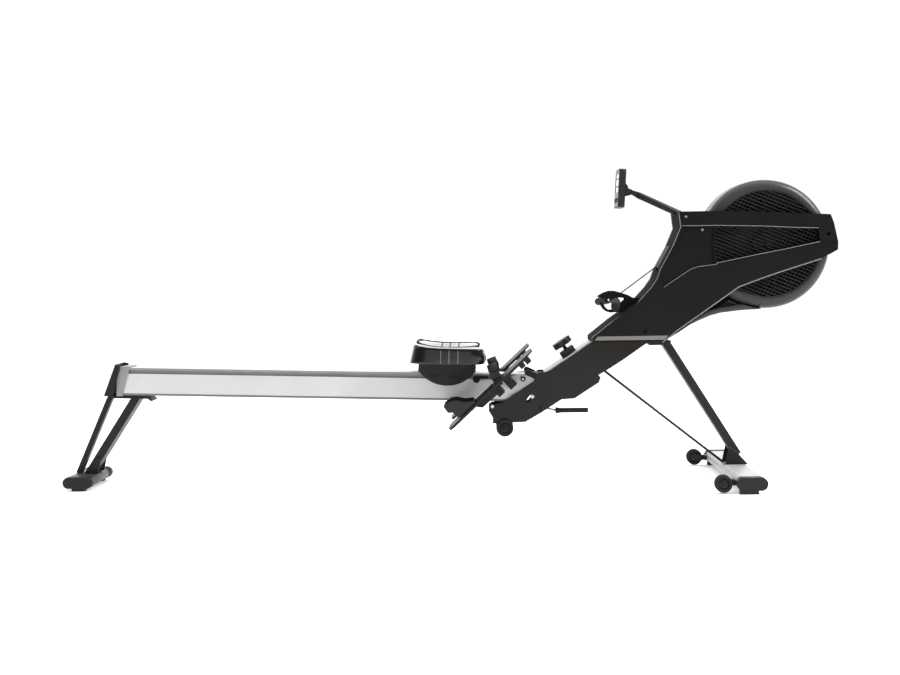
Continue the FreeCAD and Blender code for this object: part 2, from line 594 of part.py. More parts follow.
def make_core():
    """Closed wall between the side covers, with the strap slot at the fairlead."""
    outline = NECK + [(860, 838), (860, 590)] + LOWER_EDGE[4:]
    outer = face_xz(outline)
    inner = outer.makeOffset2D(-5.0)
    wall = outer.cut(inner).extrude(V(0, 2 * SHROUD_IN, 0))
    wall.translate(V(0, -SHROUD_IN, 0))
    solid_back = outer.extrude(V(0, 2 * SHROUD_IN, 0))
    solid_back.translate(V(0, -SHROUD_IN, 0))
    shell = rod_y(FAN_X, FAN_Z, CORE_CUT_R + 5, -SHROUD_IN, SHROUD_IN).common(solid_back)
    wall = wall.fuse(shell)
    wall = wall.cut(rod_y(FAN_X, FAN_Z, CORE_CUT_R, -100, 100))
    wall = wall.cut(box(640, 720, -CHEEK_HALF, CHEEK_HALF, 658, 705))
    wall = wall.cut(rod((690, 0, 846.7), (760, 0, 814), 10.5 + FIT))
    save("housing_wall", sorted(wall.Solids, key=lambda s: -s.Volume)[0])


def make_trim():
    """Grey strip along the foot of each side cover, and the thin line under its lower edge."""
    strip = slab([(436, 444), (446, 456), (664, 457), (652, 444)], SHROUD_OUT, SHROUD_OUT + 1.5)
    width = 4.0
    edge = [(x + 0.6 * width, z - 0.8 * width) for x, z in LOWER_EDGE]
    line = slab(LOWER_EDGE + edge[::-1], SHROUD_OUT - 6, SHROUD_OUT + 1)
    save("shroud_trim", both(strip) + both(line))


def make_belly():
    """Fairing that carries the line of the covers under the fan housing."""
    cover = slab([(672, 449), (697, 463), (737, 489), (800, 515), (831, 523), (881, 529), (920, 532),
                  (955, 534), (955, 620), (884, 596), (766, 514), (696, 466)], -60, 60)
    cover = cover.cut(rod_y(FAN_X, FAN_Z, GUARD_R + 0.3, -100, 100))
    save("belly_cover", sorted(cover.Solids, key=lambda s: -s.Volume)[0])


# ---- fan ----------------------------------------------------------------------------------
def ring_y(x, z, r_out, r_in, y0, y1):
    return rod_y(x, z, r_out, y0, y1).cut(rod_y(x, z, r_in, y0 - 1, y1 + 1))


def make_fan_housing():
    """Drum round the fan with a sloping ring on each side."""
    drum = ring_y(FAN_X, FAN_Z, GUARD_R, GUARD_R - 5, -40, 40)
    outer = Part.makeCone(GUARD_R, GUARD_R - 8, 25, V(FAN_X, 40, FAN_Z), V(0, 1, 0))
    ring = outer.cut(rod_y(FAN_X, FAN_Z, GUARD_INNER_R, 39, GUARD_Y + 1))
    inside = Part.makeCone(GUARD_R - 5, GUARD_INNER_R, 22, V(FAN_X, 39.9, FAN_Z), V(0, 1, 0))
    ring = ring.cut(inside)
    save("fan_shell", joined([drum] + both(ring)))


def make_guard():
    """Open wire guard: rings and spokes between a rim and a closed hub."""
    y0, y1 = GUARD_IN, GUARD_IN + 3
    wires = [ring_y(FAN_X, FAN_Z, r, r - 2.5, y0, y1) for r in (60, 90, 120, 148)]
    hub = rod_y(FAN_X, FAN_Z, 30, y0, y1)
    spokes = []
    for i in range(24):
        spoke = box(28, GUARD_INNER_R + 2, y0, y1, -1.25, 1.25)
        spoke.rotate(V(0, 0, 0), V(0, 1, 0), 15.0 * i)
        spoke.translate(V(FAN_X, 0, FAN_Z))
        spokes.append(spoke)
    rim = ring_y(FAN_X, FAN_Z, GUARD_INNER_R, GUARD_INNER_R - 3, y0, y1)
    guard = hub.fuse(wires + spokes + [rim]).removeSplitter()
    guard = guard.common(rod_y(FAN_X, FAN_Z, GUARD_INNER_R, 0, 100))
    save("fan_guard_left", guard)
    save("fan_guard_right", mirror_y(guard))


def make_flywheel():
    hub = rod_y(FAN_X, FAN_Z, 34, -30, 30)
    disc = rod_y(FAN_X, FAN_Z, 150, -3, 3)
    blades = []
    for i in range(24):
        blade = box(96, 150, -36, 36, -1.5, 1.5)
        blade.rotate(V(0, 0, 0), V(0, 1, 0), 15.0 * i)
        blade.translate(V(FAN_X, 0, FAN_Z))
        blades.append(blade)
    fan = disc.fuse([hub] + blades).removeSplitter()
    save("flywheel", fan.cut(rod_y(FAN_X, FAN_Z, 8.0 + FIT, -100, 100)))


# ---- handle, strap and monitor ------------------------------------------------------------
def make_handle():
    core = rod_y(HANDLE_X, HANDLE_Z, ROD_R, -100, 100)
    wings = []
    grips = []
    for s in (1, -1):
        a = (HANDLE_X, s * 100.0, HANDLE_Z)
        b = (HANDLE_X - 20, s * 242.0, HANDLE_Z - 11)
        wings.append(rod(a, b, ROD_R))
        wings.append(Part.makeSphere(ROD_R, V(*a)))
        step = V(*b) - V(*a)
        step.normalize()
        start = V(*a) + step * 6
        grip = Part.makeCylinder(13.0, 132, start, step)
        grip = grip.makeFillet(3.0, [e for e in grip.Edges if len(e.Vertexes) == 1])
        bore = Part.makeCylinder(ROD_R, 160, V(*a), step)
        grips.append(grip.cut(bore))
    save("handle_bar", joined([core] + wings))
    save("handle_grips", grips)
    clip = rod_y(HANDLE_X, HANDLE_Z, 9.5, -13, 13)
    tongue = bar((HANDLE_X + 6, HANDLE_Z + 5), (HANDLE_X + 26, HANDLE_Z + 22.5), 8.0, 13.0)
    clip = joined([clip, tongue]).cut(rod_y(HANDLE_X, HANDLE_Z, ROD_R, -20, 20))
    save("strap_clip", clip)


def strap_line():
    """Centre line of the pull strap: from the clip up over the fairlead roller, then in to the drum."""
    r = FAIRLEAD_R + STRAP_T / 2 + 0.3
    start = (HANDLE_X + 26.4, HANDLE_Z + 22.9)
    up = math.atan2(FAIRLEAD_Z - start[1], FAIRLEAD_X - start[0])
    far = math.hypot(FAIRLEAD_Z - start[1], FAIRLEAD_X - start[0])
    first = up + math.asin(r / far) + math.pi / 2
    points = [start]
    drum_r = DRUM_R + STRAP_T / 2 + 0.3
    dx, dz = DRUM_X - FAIRLEAD_X, DRUM_Z - FAIRLEAD_Z
    span = math.hypot(dx, dz)
    last = math.atan2(dz, dx) + math.pi / 2 - math.asin((r - drum_r) / span)
    for i in range(7):
        a = first + (last - first) * i / 6
        points.append((FAIRLEAD_X + r * math.cos(a), FAIRLEAD_Z + r * math.sin(a)))
    points.append((DRUM_X + drum_r * math.cos(last), DRUM_Z + drum_r * math.sin(last)))
    return points


def make_strap():
    save("pull_strap", ribbon(strap_line(), STRAP_T, -STRAP_HALF_W, STRAP_HALF_W))
    spool = rod_y(DRUM_X, DRUM_Z, DRUM_R, -14, 14)
    rims = [rod_y(DRUM_X, DRUM_Z, DRUM_R + 8, 14, 17), rod_y(DRUM_X, DRUM_Z, DRUM_R + 8, -17, -14)]
    spool = joined([spool] + rims).cut(rod_y(DRUM_X, DRUM_Z, 8.0 + FIT, -30, 30))
    save("strap_drum", spool)
    flange = slab([(644, 664.2), (681, 731), (677, 733.4), (639.8, 666.5)], 15, CHEEK_HALF + 4)
    cheek = slab([(640.2, 667.3), (660.1, 703), (664.5, 700.5), (675, 690), (672, 664), (657, 661),
                  (644.6, 664.9)], 15, CHEEK_HALF)
    pin = rod_y(FAIRLEAD_X, FAIRLEAD_Z, 3.0, -CHEEK_HALF, CHEEK_HALF)
    save("fairlead_bracket", joined(both(flange) + both(cheek) + [pin]))
    roller = rod_y(FAIRLEAD_X, FAIRLEAD_Z, FAIRLEAD_R, -14.4, 14.4)
    save("fairlead_roller", roller.cut(rod_y(FAIRLEAD_X, FAIRLEAD_Z, 3.0 + FIT, -20, 20)))


def make_cradle():
    """Pair of hooked cheeks: the strap draws the handle into the notch under their arched top."""
    low, high = on_neck(530), on_neck(583.6)
    bend = NECK[3]
    outside = [(456, 576), (459, 580), (473, 588), (491, 594), (508, 594), (529, 588), (549, 581), (566, 571),
               high, bend, low, (521, 529), (504, 527.5), (491, 527), (482, 529.5), (474, 536), (467, 546),
               (464, 556)]
    mouth = [(464.5, 558.2), (470.5, 558.2), (471, 555), (475, 546), (482, 539), (489, 534.5), (501, 535.5),
             (514, 541), (516, 547), (508.3, 561), (508.3, 569.9), (476, 569.9), (466, 572)]
    window = [(517, 574), (538, 572.5), (541, 567), (526, 553.5), (522, 552.5), (514.5, 564)]
    cheek = slab(outside + mouth, 18, 24).cut(slab(window, 0, 40))
    foot = slab([low, bend, high, (high[0] - 5, high[1]), (560, 556), (524, 531)], -24, 24)
    save("handle_cradle", joined(both(cheek) + [foot]))


def make_monitor():
    case = box(-12, 9, -50, 50, -60, 60)
    case = round_edges(case, 8.0, lambda e: abs(e.Vertexes[0].X - e.Vertexes[-1].X) > 5)
    screen_cut = box(-13, -10, -38, 38, -12, 46)
    case = case.cut(screen_cut)
    rib = slab([(9, 26), (22, 8), (22, -8), (9, -26)], -9, 9)
    case = joined([case, rib])
    tilt = V(0, 1, 0)

    def placed(shape):
        shape = shape.copy()
        shape.rotate(V(0, 0, 0), tilt, 3.6)
        shape.translate(V(532, 0, 915))
        return shape
    case = placed(case)
    case = case.cut(rod_y(MONITOR_X, MONITOR_Z, 12.0, -12, 12))
    eye = []
    for s in (1, -1):
        y0, y1 = sorted((s * 6.0, s * 11.5))
        arm = slab([(546, 920), (566, 911.5), (574, 905), (566, 896.5), (546, 892)], y0, y1)
        eye.append(arm.cut(placed(box(-40, 9, -60, 60, -80, 80))))
    case = joined([case] + eye)
    case = case.cut(rod_y(MONITOR_X, MONITOR_Z, 4.0 + FIT, -20, 20))
    save("monitor_case", case)
    save("monitor_screen", placed(box(-11.5, -10, -38, 38, -12, 46)))


def make_boom():
    """Tube that carries the monitor, with a flattened eye and its pivot pin."""
    tube = rod((588, 0, 894.3), (760, 0, 814), 10.5)
    tongue = slab([(560, 904), (566, 911), (594, 902), (586, 884), (566, 897)], -5.6, 5.6)
    boom = joined([tube, tongue]).cut(rod_y(MONITOR_X, MONITOR_Z, 4.0, -20, 20))
    save("monitor_boom", joined([boom, rod_y(MONITOR_X, MONITOR_Z, 4.0, -14, 14)]))


make_rail_beam()
make_rail_end()
make_rail_stops()
make_rear_leg()
make_rear_foot()
make_seat_carriage()
make_seat_pad()
make_arm_plates()
make_arm_inside()
make_bumper()
make_release_lever()
make_knob()
make_front_leg()
make_front_foot()
make_footplates()
make_pedal_bracket()
make_heel_cups()
make_foot_straps()
make_shrouds()
make_core()
make_trim()
make_belly()
make_fan_housing()
make_guard()
make_flywheel()
make_handle()
make_strap()
make_cradle()
make_monitor()
make_boom()
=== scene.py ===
import bpy
import bmesh
import json
import math
from mathutils import Matrix, Vector


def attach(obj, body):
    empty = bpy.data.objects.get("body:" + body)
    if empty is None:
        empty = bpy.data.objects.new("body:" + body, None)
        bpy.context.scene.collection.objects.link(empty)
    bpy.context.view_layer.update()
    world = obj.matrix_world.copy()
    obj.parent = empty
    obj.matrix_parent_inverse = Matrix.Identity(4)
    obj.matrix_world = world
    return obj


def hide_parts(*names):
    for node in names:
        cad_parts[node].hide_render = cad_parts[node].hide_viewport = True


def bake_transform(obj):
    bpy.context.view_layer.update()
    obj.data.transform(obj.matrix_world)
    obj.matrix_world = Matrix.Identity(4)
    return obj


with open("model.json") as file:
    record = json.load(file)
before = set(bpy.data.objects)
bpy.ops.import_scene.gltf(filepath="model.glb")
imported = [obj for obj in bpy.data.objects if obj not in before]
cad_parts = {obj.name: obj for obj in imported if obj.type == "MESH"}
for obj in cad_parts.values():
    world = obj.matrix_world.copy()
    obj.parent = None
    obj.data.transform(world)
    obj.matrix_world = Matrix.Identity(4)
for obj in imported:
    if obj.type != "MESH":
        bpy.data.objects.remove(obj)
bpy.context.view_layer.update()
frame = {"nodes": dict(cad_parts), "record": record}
NODES = frame["nodes"]

# Rowing machine. Metres, +X toward the fan, +Z up, Y = 0 is the middle plane.
SHIFT = 0.00525                     # the CAD is centred on its length by this much
RAIL_ANGLE = math.radians(1.55)     # the rail falls toward the fan
PEDAL_ANGLE = math.radians(43.0)
FOLD = Vector((0.216 + SHIFT, 0, 0.324))
HEEL = Vector((-0.013 + SHIFT, 0, 0.188))
FAN = Vector((0.973 + SHIFT, 0, 0.736))
SEAT_U = -0.233                     # middle of the seat along the rail, from the fold bolt
RAIL_TOP = 0.015
SIDES = ((1, "left"), (-1, "right"))


# ---- node helpers -------------------------------------------------------------------------
UNSTRETCHED = (1, 1, 1)
NOISE_LOW, NOISE_HIGH = 0.3, 0.7    # nearly all values of a noise texture lie between these


class Shader:
    """Small wrapper that keeps the node code of one material short."""

    def __init__(self, name):
        self.mat = bpy.data.materials.new(name)
        self.mat.use_nodes = True
        self.tree = self.mat.node_tree
        self.bsdf = self.tree.nodes["Principled BSDF"]
        self.coords = self.tree.nodes.new("ShaderNodeTexCoord")

    def node(self, kind, **settings):
        made = self.tree.nodes.new(kind)
        for key, value in settings.items():
            setattr(made, key, value)
        return made

    def link(self, a, b):
        self.tree.links.new(a, b)

    def stretched(self, scale):
        mapping = self.node("ShaderNodeMapping")
        mapping.inputs["Scale"].default_value = scale
        self.link(self.coords.outputs["Object"], mapping.inputs["Vector"])
        return mapping.outputs["Vector"]

    def noise(self, scale, detail=4.0, stretch=UNSTRETCHED):
        tex = self.node("ShaderNodeTexNoise")
        tex.inputs["Scale"].default_value = scale
        tex.inputs["Detail"].default_value = detail
        self.link(self.stretched(stretch), tex.inputs["Vector"])
        return tex.outputs["Fac"]

    def cells(self, scale):
        tex = self.node("ShaderNodeTexVoronoi")
        tex.inputs["Scale"].default_value = scale
        self.link(self.stretched(UNSTRETCHED), tex.inputs["Vector"])
        return tex.outputs["Distance"]

    def waves(self, scale, axis):
        tex = self.node("ShaderNodeTexWave", wave_type="BANDS", bands_direction=axis)
        tex.inputs["Scale"].default_value = scale
        tex.inputs["Distortion"].default_value = 0.15
        self.link(self.stretched(UNSTRETCHED), tex.inputs["Vector"])
        return tex.outputs["Fac"]

    def ranged(self, value, low, high):
        """Spreads a noise value over the range low to high."""
        mapped = self.node("ShaderNodeMapRange")
        mapped.inputs["From Min"].default_value = NOISE_LOW
        mapped.inputs["From Max"].default_value = NOISE_HIGH
        mapped.inputs["To Min"].default_value = low
        mapped.inputs["To Max"].default_value = high
        self.link(value, mapped.inputs["Value"])
        return mapped.outputs["Result"]

    def maths(self, operation, a, b):
        made = self.node("ShaderNodeMath", operation=operation)
        self.link(a, made.inputs[0])
        if isinstance(b, (int, float)):
            made.inputs[1].default_value = b
        else:
            self.link(b, made.inputs[1])
        return made.outputs["Value"]

    def mixed(self, factor, a, b):
        mix = self.node("ShaderNodeMix", data_type="RGBA")
        self.link(factor, mix.inputs["Factor"])
        mix.inputs["A"].default_value = (*a, 1)
        mix.inputs["B"].default_value = (*b, 1)
        return mix.outputs["Result"]

    def colour(self, value):
        self.link(value, self.bsdf.inputs["Base Color"])

    def roughness(self, value):
        self.link(value, self.bsdf.inputs["Roughness"])

    def bump(self, height, strength, distance):
        made = self.node("ShaderNodeBump")
        made.inputs["Strength"].default_value = strength
        made.inputs["Distance"].default_value = distance
        self.link(height, made.inputs["Height"])
        self.link(made.outputs["Normal"], self.bsdf.inputs["Normal"])

    def plain(self, **sockets):
        for key, value in sockets.items():
            self.bsdf.inputs[key.replace("_", " ")].default_value = value


# ---- materials ----------------------------------------------------------------------------
def moulded_plastic(name, dark, light, rough, grain=900.0, depth=0.00012):
    """Fine spark-eroded grain, faint handling marks."""
    s = Shader(name)
    s.colour(s.mixed(s.noise(14.0, 5.0), dark, light))
    s.roughness(s.ranged(s.noise(38.0, 6.0), rough - 0.07, rough + 0.08))
    s.bump(s.noise(grain, 2.0), 0.35, depth)
    s.plain(Specular_IOR_Level=0.22)
    return s.mat


def matte_plastic(name, dark, light):
    """Dead-matt textured moulding."""
    s = Shader(name)
    s.colour(s.mixed(s.noise(14.0, 5.0), dark, light))
    s.roughness(s.ranged(s.noise(140.0, 5.0), 0.78, 0.92))
    s.bump(s.noise(700.0, 2.0), 0.3, 0.0001)
    s.plain(Specular_IOR_Level=0.06)
    return s.mat


def gloss_plastic(name, dark, light, rough):
    """Semi-gloss cover with very slight waviness and fine hairline wear."""
    s = Shader(name)
    s.colour(s.mixed(s.noise(6.0, 5.0), dark, light))
    hair = s.noise(90.0, 8.0, (1.0, 1.0, 14.0))
    s.roughness(s.ranged(hair, rough - 0.05, rough + 0.08))
    s.bump(s.noise(420.0, 2.0), 0.12, 0.00008)
    s.plain(Specular_IOR_Level=0.14, Coat_Weight=0.04, Coat_Roughness=0.15)
    return s.mat


def powder_coat(name, dark, light, rough, metallic=0.0):
    """Orange-peel texture of a powder coat."""
    s = Shader(name)
    s.colour(s.mixed(s.noise(22.0, 5.0), dark, light))
    s.roughness(s.ranged(s.noise(60.0, 6.0), rough - 0.06, rough + 0.08))
    s.bump(s.cells(700.0), 0.25, 0.00012)
    s.plain(Metallic=metallic, Specular_IOR_Level=0.22)
    return s.mat


def anodised(name, dark, light, rough, stretch):
    """Extruded aluminium with long fine draw lines."""
    s = Shader(name)
    lines = s.noise(260.0, 6.0, stretch)
    s.colour(s.mixed(s.noise(9.0, 4.0), dark, light))
    s.roughness(s.ranged(lines, rough - 0.06, rough + 0.08))
    s.bump(lines, 0.10, 0.00006)
    s.plain(Metallic=0.25)
    return s.mat


def zinc_steel(name, dark, light, rough):
    """Bright bolt steel, slightly brushed."""
    s = Shader(name)
    s.colour(s.mixed(s.noise(120.0, 5.0), dark, light))
    s.roughness(s.ranged(s.noise(300.0, 6.0, (1, 8, 1)), rough - 0.08, rough + 0.1))
    s.bump(s.noise(900.0, 2.0, (1, 6, 1)), 0.08, 0.00005)
    s.plain(Metallic=1.0)
    return s.mat


def soft_rubber(name, dark, light):
    """Dull rubber with a fine grain."""
    rough = 0.72
    s = Shader(name)
    s.colour(s.mixed(s.noise(40.0, 6.0), dark, light))
    s.roughness(s.ranged(s.noise(130.0, 5.0), rough - 0.08, rough + 0.1))
    s.bump(s.noise(1100.0, 3.0), 0.4, 0.0002)
    s.plain(Specular_IOR_Level=0.18)
    return s.mat


def cell_foam(name):
    """Closed-cell foam of the grips."""
    s = Shader(name)
    s.colour(s.mixed(s.noise(50.0, 6.0), (0.004, 0.004, 0.004), (0.012, 0.011, 0.010)))
    s.roughness(s.ranged(s.noise(90.0, 5.0), 0.72, 0.92))
    s.bump(s.cells(620.0), 0.6, 0.0005)
    s.plain(Specular_IOR_Level=0.15)
    return s.mat


def webbing(name, dark, light):
    """Woven strap: crossed bands of thread."""
    s = Shader(name)
    warp = s.waves(420.0, "Y")
    weft = s.waves(300.0, "DIAGONAL")
    weave = s.maths("MULTIPLY", warp, weft)
    s.colour(s.mixed(weave, dark, light))
    s.roughness(s.ranged(s.noise(80.0, 5.0), 0.68, 0.9))
    s.bump(weave, 0.8, 0.0006)
    s.plain(Specular_IOR_Level=0.15)
    return s.mat


def coated_leather(name):
    """Glossy black synthetic leather with a pebbled grain."""
    s = Shader(name)
    s.colour(s.mixed(s.noise(18.0, 5.0), (0.004, 0.0035, 0.003), (0.009, 0.008, 0.007)))
    s.roughness(s.ranged(s.noise(55.0, 6.0), 0.30, 0.42))
    pebble = s.cells(420.0)
    crease = s.noise(26.0, 6.0, (1, 3, 1))
    s.bump(s.maths("ADD", s.maths("MULTIPLY", pebble, 0.6), crease), 0.10, 0.0003)
    s.plain(Specular_IOR_Level=0.06, Coat_Weight=1.0, Coat_Roughness=0.07, Coat_IOR=1.38)
    return s.mat


def display_window(name):
    """Grey-green display under a clear window."""
    s = Shader(name)
    s.colour(s.mixed(s.noise(12.0, 3.0), (0.20, 0.23, 0.20), (0.26, 0.29, 0.25)))
    s.roughness(s.ranged(s.noise(60.0, 4.0), 0.08, 0.18))
    s.bump(s.noise(700.0, 2.0), 0.05, 0.00004)
    s.plain(Coat_Weight=0.6, Coat_Roughness=0.05)
    return s.mat


MATERIALS = {
    "anodised_rail": anodised("anodised_rail", (0.50, 0.505, 0.51), (0.58, 0.585, 0.59), 0.38, (0.02, 1, 1)),
    "black_plastic": moulded_plastic("black_plastic", (0.006, 0.006, 0.006), (0.014, 0.014, 0.014), 0.46),
    "grey_plastic": moulded_plastic("grey_plastic", (0.014, 0.013, 0.0115), (0.024, 0.022, 0.020), 0.50),
    "black_rubber": soft_rubber("black_rubber", (0.006, 0.006, 0.006), (0.016, 0.015, 0.015)),
    "black_paint": powder_coat("black_paint", (0.006, 0.006, 0.006), (0.014, 0.013, 0.013), 0.40),
    "charcoal_paint": powder_coat("charcoal_paint", (0.008, 0.007, 0.006), (0.015, 0.013, 0.0115), 0.46),
    "grey_metallic": powder_coat("grey_metallic", (0.045, 0.043, 0.042), (0.070, 0.067, 0.065), 0.34, 0.2),
    "silver_paint": powder_coat("silver_paint", (0.36, 0.36, 0.365), (0.44, 0.44, 0.445), 0.40, 0.25),
    "bolt_steel": zinc_steel("bolt_steel", (0.42, 0.42, 0.42), (0.60, 0.60, 0.60), 0.32),
    "roller_nylon": moulded_plastic("roller_nylon", (0.05, 0.05, 0.05), (0.09, 0.09, 0.09), 0.5),
    "seat_leather": coated_leather("seat_leather"),
    "wheel_rubber": soft_rubber("wheel_rubber", (0.008, 0.008, 0.007), (0.020, 0.019, 0.017)),
    "strap_webbing": webbing("strap_webbing", (0.006, 0.006, 0.006), (0.030, 0.029, 0.028)),
    "gloss_shroud": gloss_plastic("gloss_shroud", (0.004, 0.0035, 0.003), (0.008, 0.007, 0.006), 0.34),
    "light_trim": moulded_plastic("light_trim", (0.13, 0.125, 0.12), (0.18, 0.173, 0.165), 0.42),
    "fan_gloss": gloss_plastic("fan_gloss", (0.026, 0.025, 0.024), (0.040, 0.038, 0.036), 0.24),
    "guard_steel": powder_coat("guard_steel", (0.010, 0.010, 0.010), (0.020, 0.019, 0.018), 0.42),
    # fan_aluminium is near black: painted shade for the flywheel inside the fan housing, in place of its bare
    # metal.
    "fan_aluminium": powder_coat("fan_aluminium", (0.006, 0.006, 0.006), (0.014, 0.013, 0.013), 0.55),
    "collar_grey": moulded_plastic("collar_grey", (0.20, 0.20, 0.20), (0.27, 0.27, 0.265), 0.40),
    "matte_black": matte_plastic("matte_black", (0.006, 0.0055, 0.005), (0.012, 0.011, 0.010)),
    "grip_foam": cell_foam("grip_foam"),
    "monitor_plastic": moulded_plastic("monitor_plastic", (0.010, 0.010, 0.010), (0.020, 0.020, 0.019), 0.48),
    "screen_glass": display_window("screen_glass"),
}


def paint(obj, slot_name):
    obj.data.materials.clear()
    obj.data.materials.append(MATERIALS[slot_name])


def bevel(obj, width, segments=3, angle=35):
    """Eases the edges that turn by more than the angle, in degrees."""
    ease = obj.modifiers.new("ease", "BEVEL")
    ease.width = width
    ease.segments = segments
    ease.limit_method = "ANGLE"
    ease.angle_limit = math.radians(angle)
    return ease


# Edge radius of the CAD nodes that differ from the usual one.
USUAL_EASE = 0.0009
EASE = {"seat_board": 0.002, "rail_beam": 0.0015, "shroud_left": 0.0022, "shroud_right": 0.0022,
        "rear_leg": 0.002, "front_leg": 0.002, "arm_beam": 0.002, "fan_guard_left": 0.0003,
        "fan_guard_right": 0.0003, "flywheel": 0.0004, "pull_strap": 0.0003, "monitor_case": 0.0015}
WELD_GAP = 0.00001


def dress_cad_nodes():
    """Gives every CAD node its finished material and eased edges."""
    slots = {row["node"]: row["material_slot"] for row in frame["record"]["subparts"]}
    for name, obj in NODES.items():
        paint(obj, slots[name])
        weld = obj.modifiers.new("weld", "WELD")
        weld.merge_threshold = WELD_GAP
        bevel(obj, EASE.get(name, USUAL_EASE), 2).harden_normals = True


# ---- mesh helpers -------------------------------------------------------------------------
def new_object(name, verts, faces, smooth=True):
    mesh = bpy.data.meshes.new(name)
    mesh.from_pydata([tuple(v) for v in verts], [], faces)
    mesh.validate()
    mesh.update()
    if smooth:
        mesh.shade_smooth()
    obj = bpy.data.objects.new(name, mesh)
    bpy.context.scene.collection.objects.link(obj)
    return obj


def finish_piece(obj, body, slot_name):
    paint(obj, slot_name)
    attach(obj, body)


def fix_normals(obj):
    bm = bmesh.new()
    bm.from_mesh(obj.data)
    bmesh.ops.recalc_face_normals(bm, faces=bm.faces)
    bm.to_mesh(obj.data)
    bm.free()


def lathe_y(name, centre, profile, segments):
    """Turned part about an axis along Y: profile is a closed list of (radius, y)."""
    verts = []
    faces = []
    rows = len(profile)
    for i in range(segments):
        a = 2 * math.pi * i / segments
        for r, y in profile:
            verts.append((centre.x + r * math.cos(a), y, centre.z + r * math.sin(a)))
    for i in range(segments):
        n = (i + 1) % segments
        for j in range(rows):
            k = (j + 1) % rows
            faces.append((i * rows + j, i * rows + k, n * rows + k, n * rows + j))
    obj = new_object(name, verts, faces)
    fix_normals(obj)
    return obj


TUBE_SIDES = 8


def tube_path(name, points, radius, closed=False):
    """Thin round cord that follows a list of points."""
    curve = bpy.data.curves.new(name, "CURVE")
    curve.dimensions = "3D"
    curve.bevel_depth = radius
    curve.bevel_resolution = TUBE_SIDES // 4
    curve.use_fill_caps = True
    spline = curve.splines.new("POLY")
    spline.points.add(len(points) - 1)
    for point, target in zip(spline.points, points):
        point.co = (*target, 1)
    spline.use_cyclic_u = closed
    made = bpy.data.objects.new(name, curve)
    bpy.context.scene.collection.objects.link(made)
    bpy.context.view_layer.update()
    mesh = bpy.data.meshes.new_from_object(made)
    bpy.data.objects.remove(made)
    mesh.shade_smooth()
    obj = bpy.data.objects.new(name, mesh)
    bpy.context.scene.collection.objects.link(obj)
    return obj


# ---- seat ---------------------------------------------------------------------------------
SEAT_HALF_Y = 0.150
SEAT_LOW = RAIL_TOP + 0.036
SEAT_RIM = ((-0.118, 0.058), (-0.095, 0.057), (-0.080, 0.0535), (-0.055, 0.0505), (-0.020, 0.0485),
            (0.119, 0.048))
FLUTES = (-0.020, 0.005, 0.032)     # upright grooves in the seat's sides, along the rail
FLUTE_HALF, FLUTE_DEPTH = 0.0021, 0.0022
SEAT_REAR, REAR_LEAN = -0.118, 0.011
SEAT_FRONT, FRONT_SWELL = 0.112, 0.007
SHOULDER, FRONT_SHOULDER = 0.0045, 0.0060   # radius of the upper edge, and what the front adds
CROWN = 0.0070                      # how far the middle of the top stands above its sides
HOLLOW_X, HOLLOW_Y, HOLLOW_DEPTH = -0.006, 0.066, 0.0060
HOLLOW_LONG, HOLLOW_WIDE = 0.075, 0.050
SQUARENESS = 7.0                    # power of the outline: 2 is an ellipse, more is squarer


def rail_matrix():
    return Matrix.Translation(FOLD) @ Matrix.Rotation(RAIL_ANGLE, 4, "Y")


def seat_matrix():
    return rail_matrix() @ Matrix.Translation((SEAT_U, 0, SEAT_LOW))


def rounded_outline(angle, a, b, power=SQUARENESS):
    """Point of a rounded rectangle with the half lengths a and b."""
    c, s = math.cos(angle), math.sin(angle)
    x = a * math.copysign(abs(c) ** (2 / power), c)
    y = b * math.copysign(abs(s) ** (2 / power), s)
    return x, y


def rim_height(x):
    """Height of the seat's upper edge; it rises toward the rear."""
    for (x0, z0), (x1, z1) in zip(SEAT_RIM, SEAT_RIM[1:]):
        if x <= x1:
            t = min(max((x - x0) / (x1 - x0), 0.0), 1.0)
            return z0 + (z1 - z0) * t * t * (3 - 2 * t)
    return SEAT_RIM[-1][1]


def seat_top(x, y, inward):
    """Crown less its two shallow hollows; inward is 0 at the rim and 1 in the middle."""
    rise = min(inward / 0.25, 1.0)
    rise = rise * rise * (3 - 2 * rise)
    crown = CROWN * (1 - (y / SEAT_HALF_Y) ** 2)
    across = (abs(y) - HOLLOW_Y) / HOLLOW_WIDE
    hollow = HOLLOW_DEPTH * math.exp(-across ** 2) * math.exp(-((x - HOLLOW_X) / HOLLOW_LONG) ** 2)
    return (crown - hollow) * rise


def flute(x, y):
    """Depth of the upright grooves at a point of the cushion's side."""
    if abs(y) < SEAT_HALF_Y * 0.80:
        return 0.0
    return FLUTE_DEPTH * sum(math.exp(-((x - f) / FLUTE_HALF) ** 2) for f in FLUTES)


def seat_ring(kind, value, segments):
    """One ring of the cushion: part of its side, of its eased shoulder or of its top."""
    ring = []
    side = value if kind == "side" else 1.0
    rear = SEAT_REAR + REAR_LEAN * side
    front = SEAT_FRONT + FRONT_SWELL * math.sin(math.pi * min(side, 0.93))
    for j in range(segments):
        angle = 2 * math.pi * (j + 0.5) / segments
        ease = SHOULDER + FRONT_SHOULDER * max(0.0, math.cos(angle)) ** 4
        inset = 0.0
        if kind == "shoulder":
            inset = ease * (1 - math.cos(value))
        if kind == "top":
            inset = ease
        a = ((front - rear) / 2 - inset) * (1 - (value if kind == "top" else 0))
        b = (SEAT_HALF_Y - inset) * (1 - (value if kind == "top" else 0))
        x, y = rounded_outline(angle, a, b)
        x += (front + rear) / 2
        rim = rim_height(x)
        if kind == "side":
            z = value * (rim - ease)
        elif kind == "shoulder":
            z = rim - ease + ease * math.sin(value)
        else:
            z = rim + seat_top(x, y, value)
        if kind != "top":
            y -= math.copysign(flute(x, y), y)
        ring.append((x, y, z))
    return ring


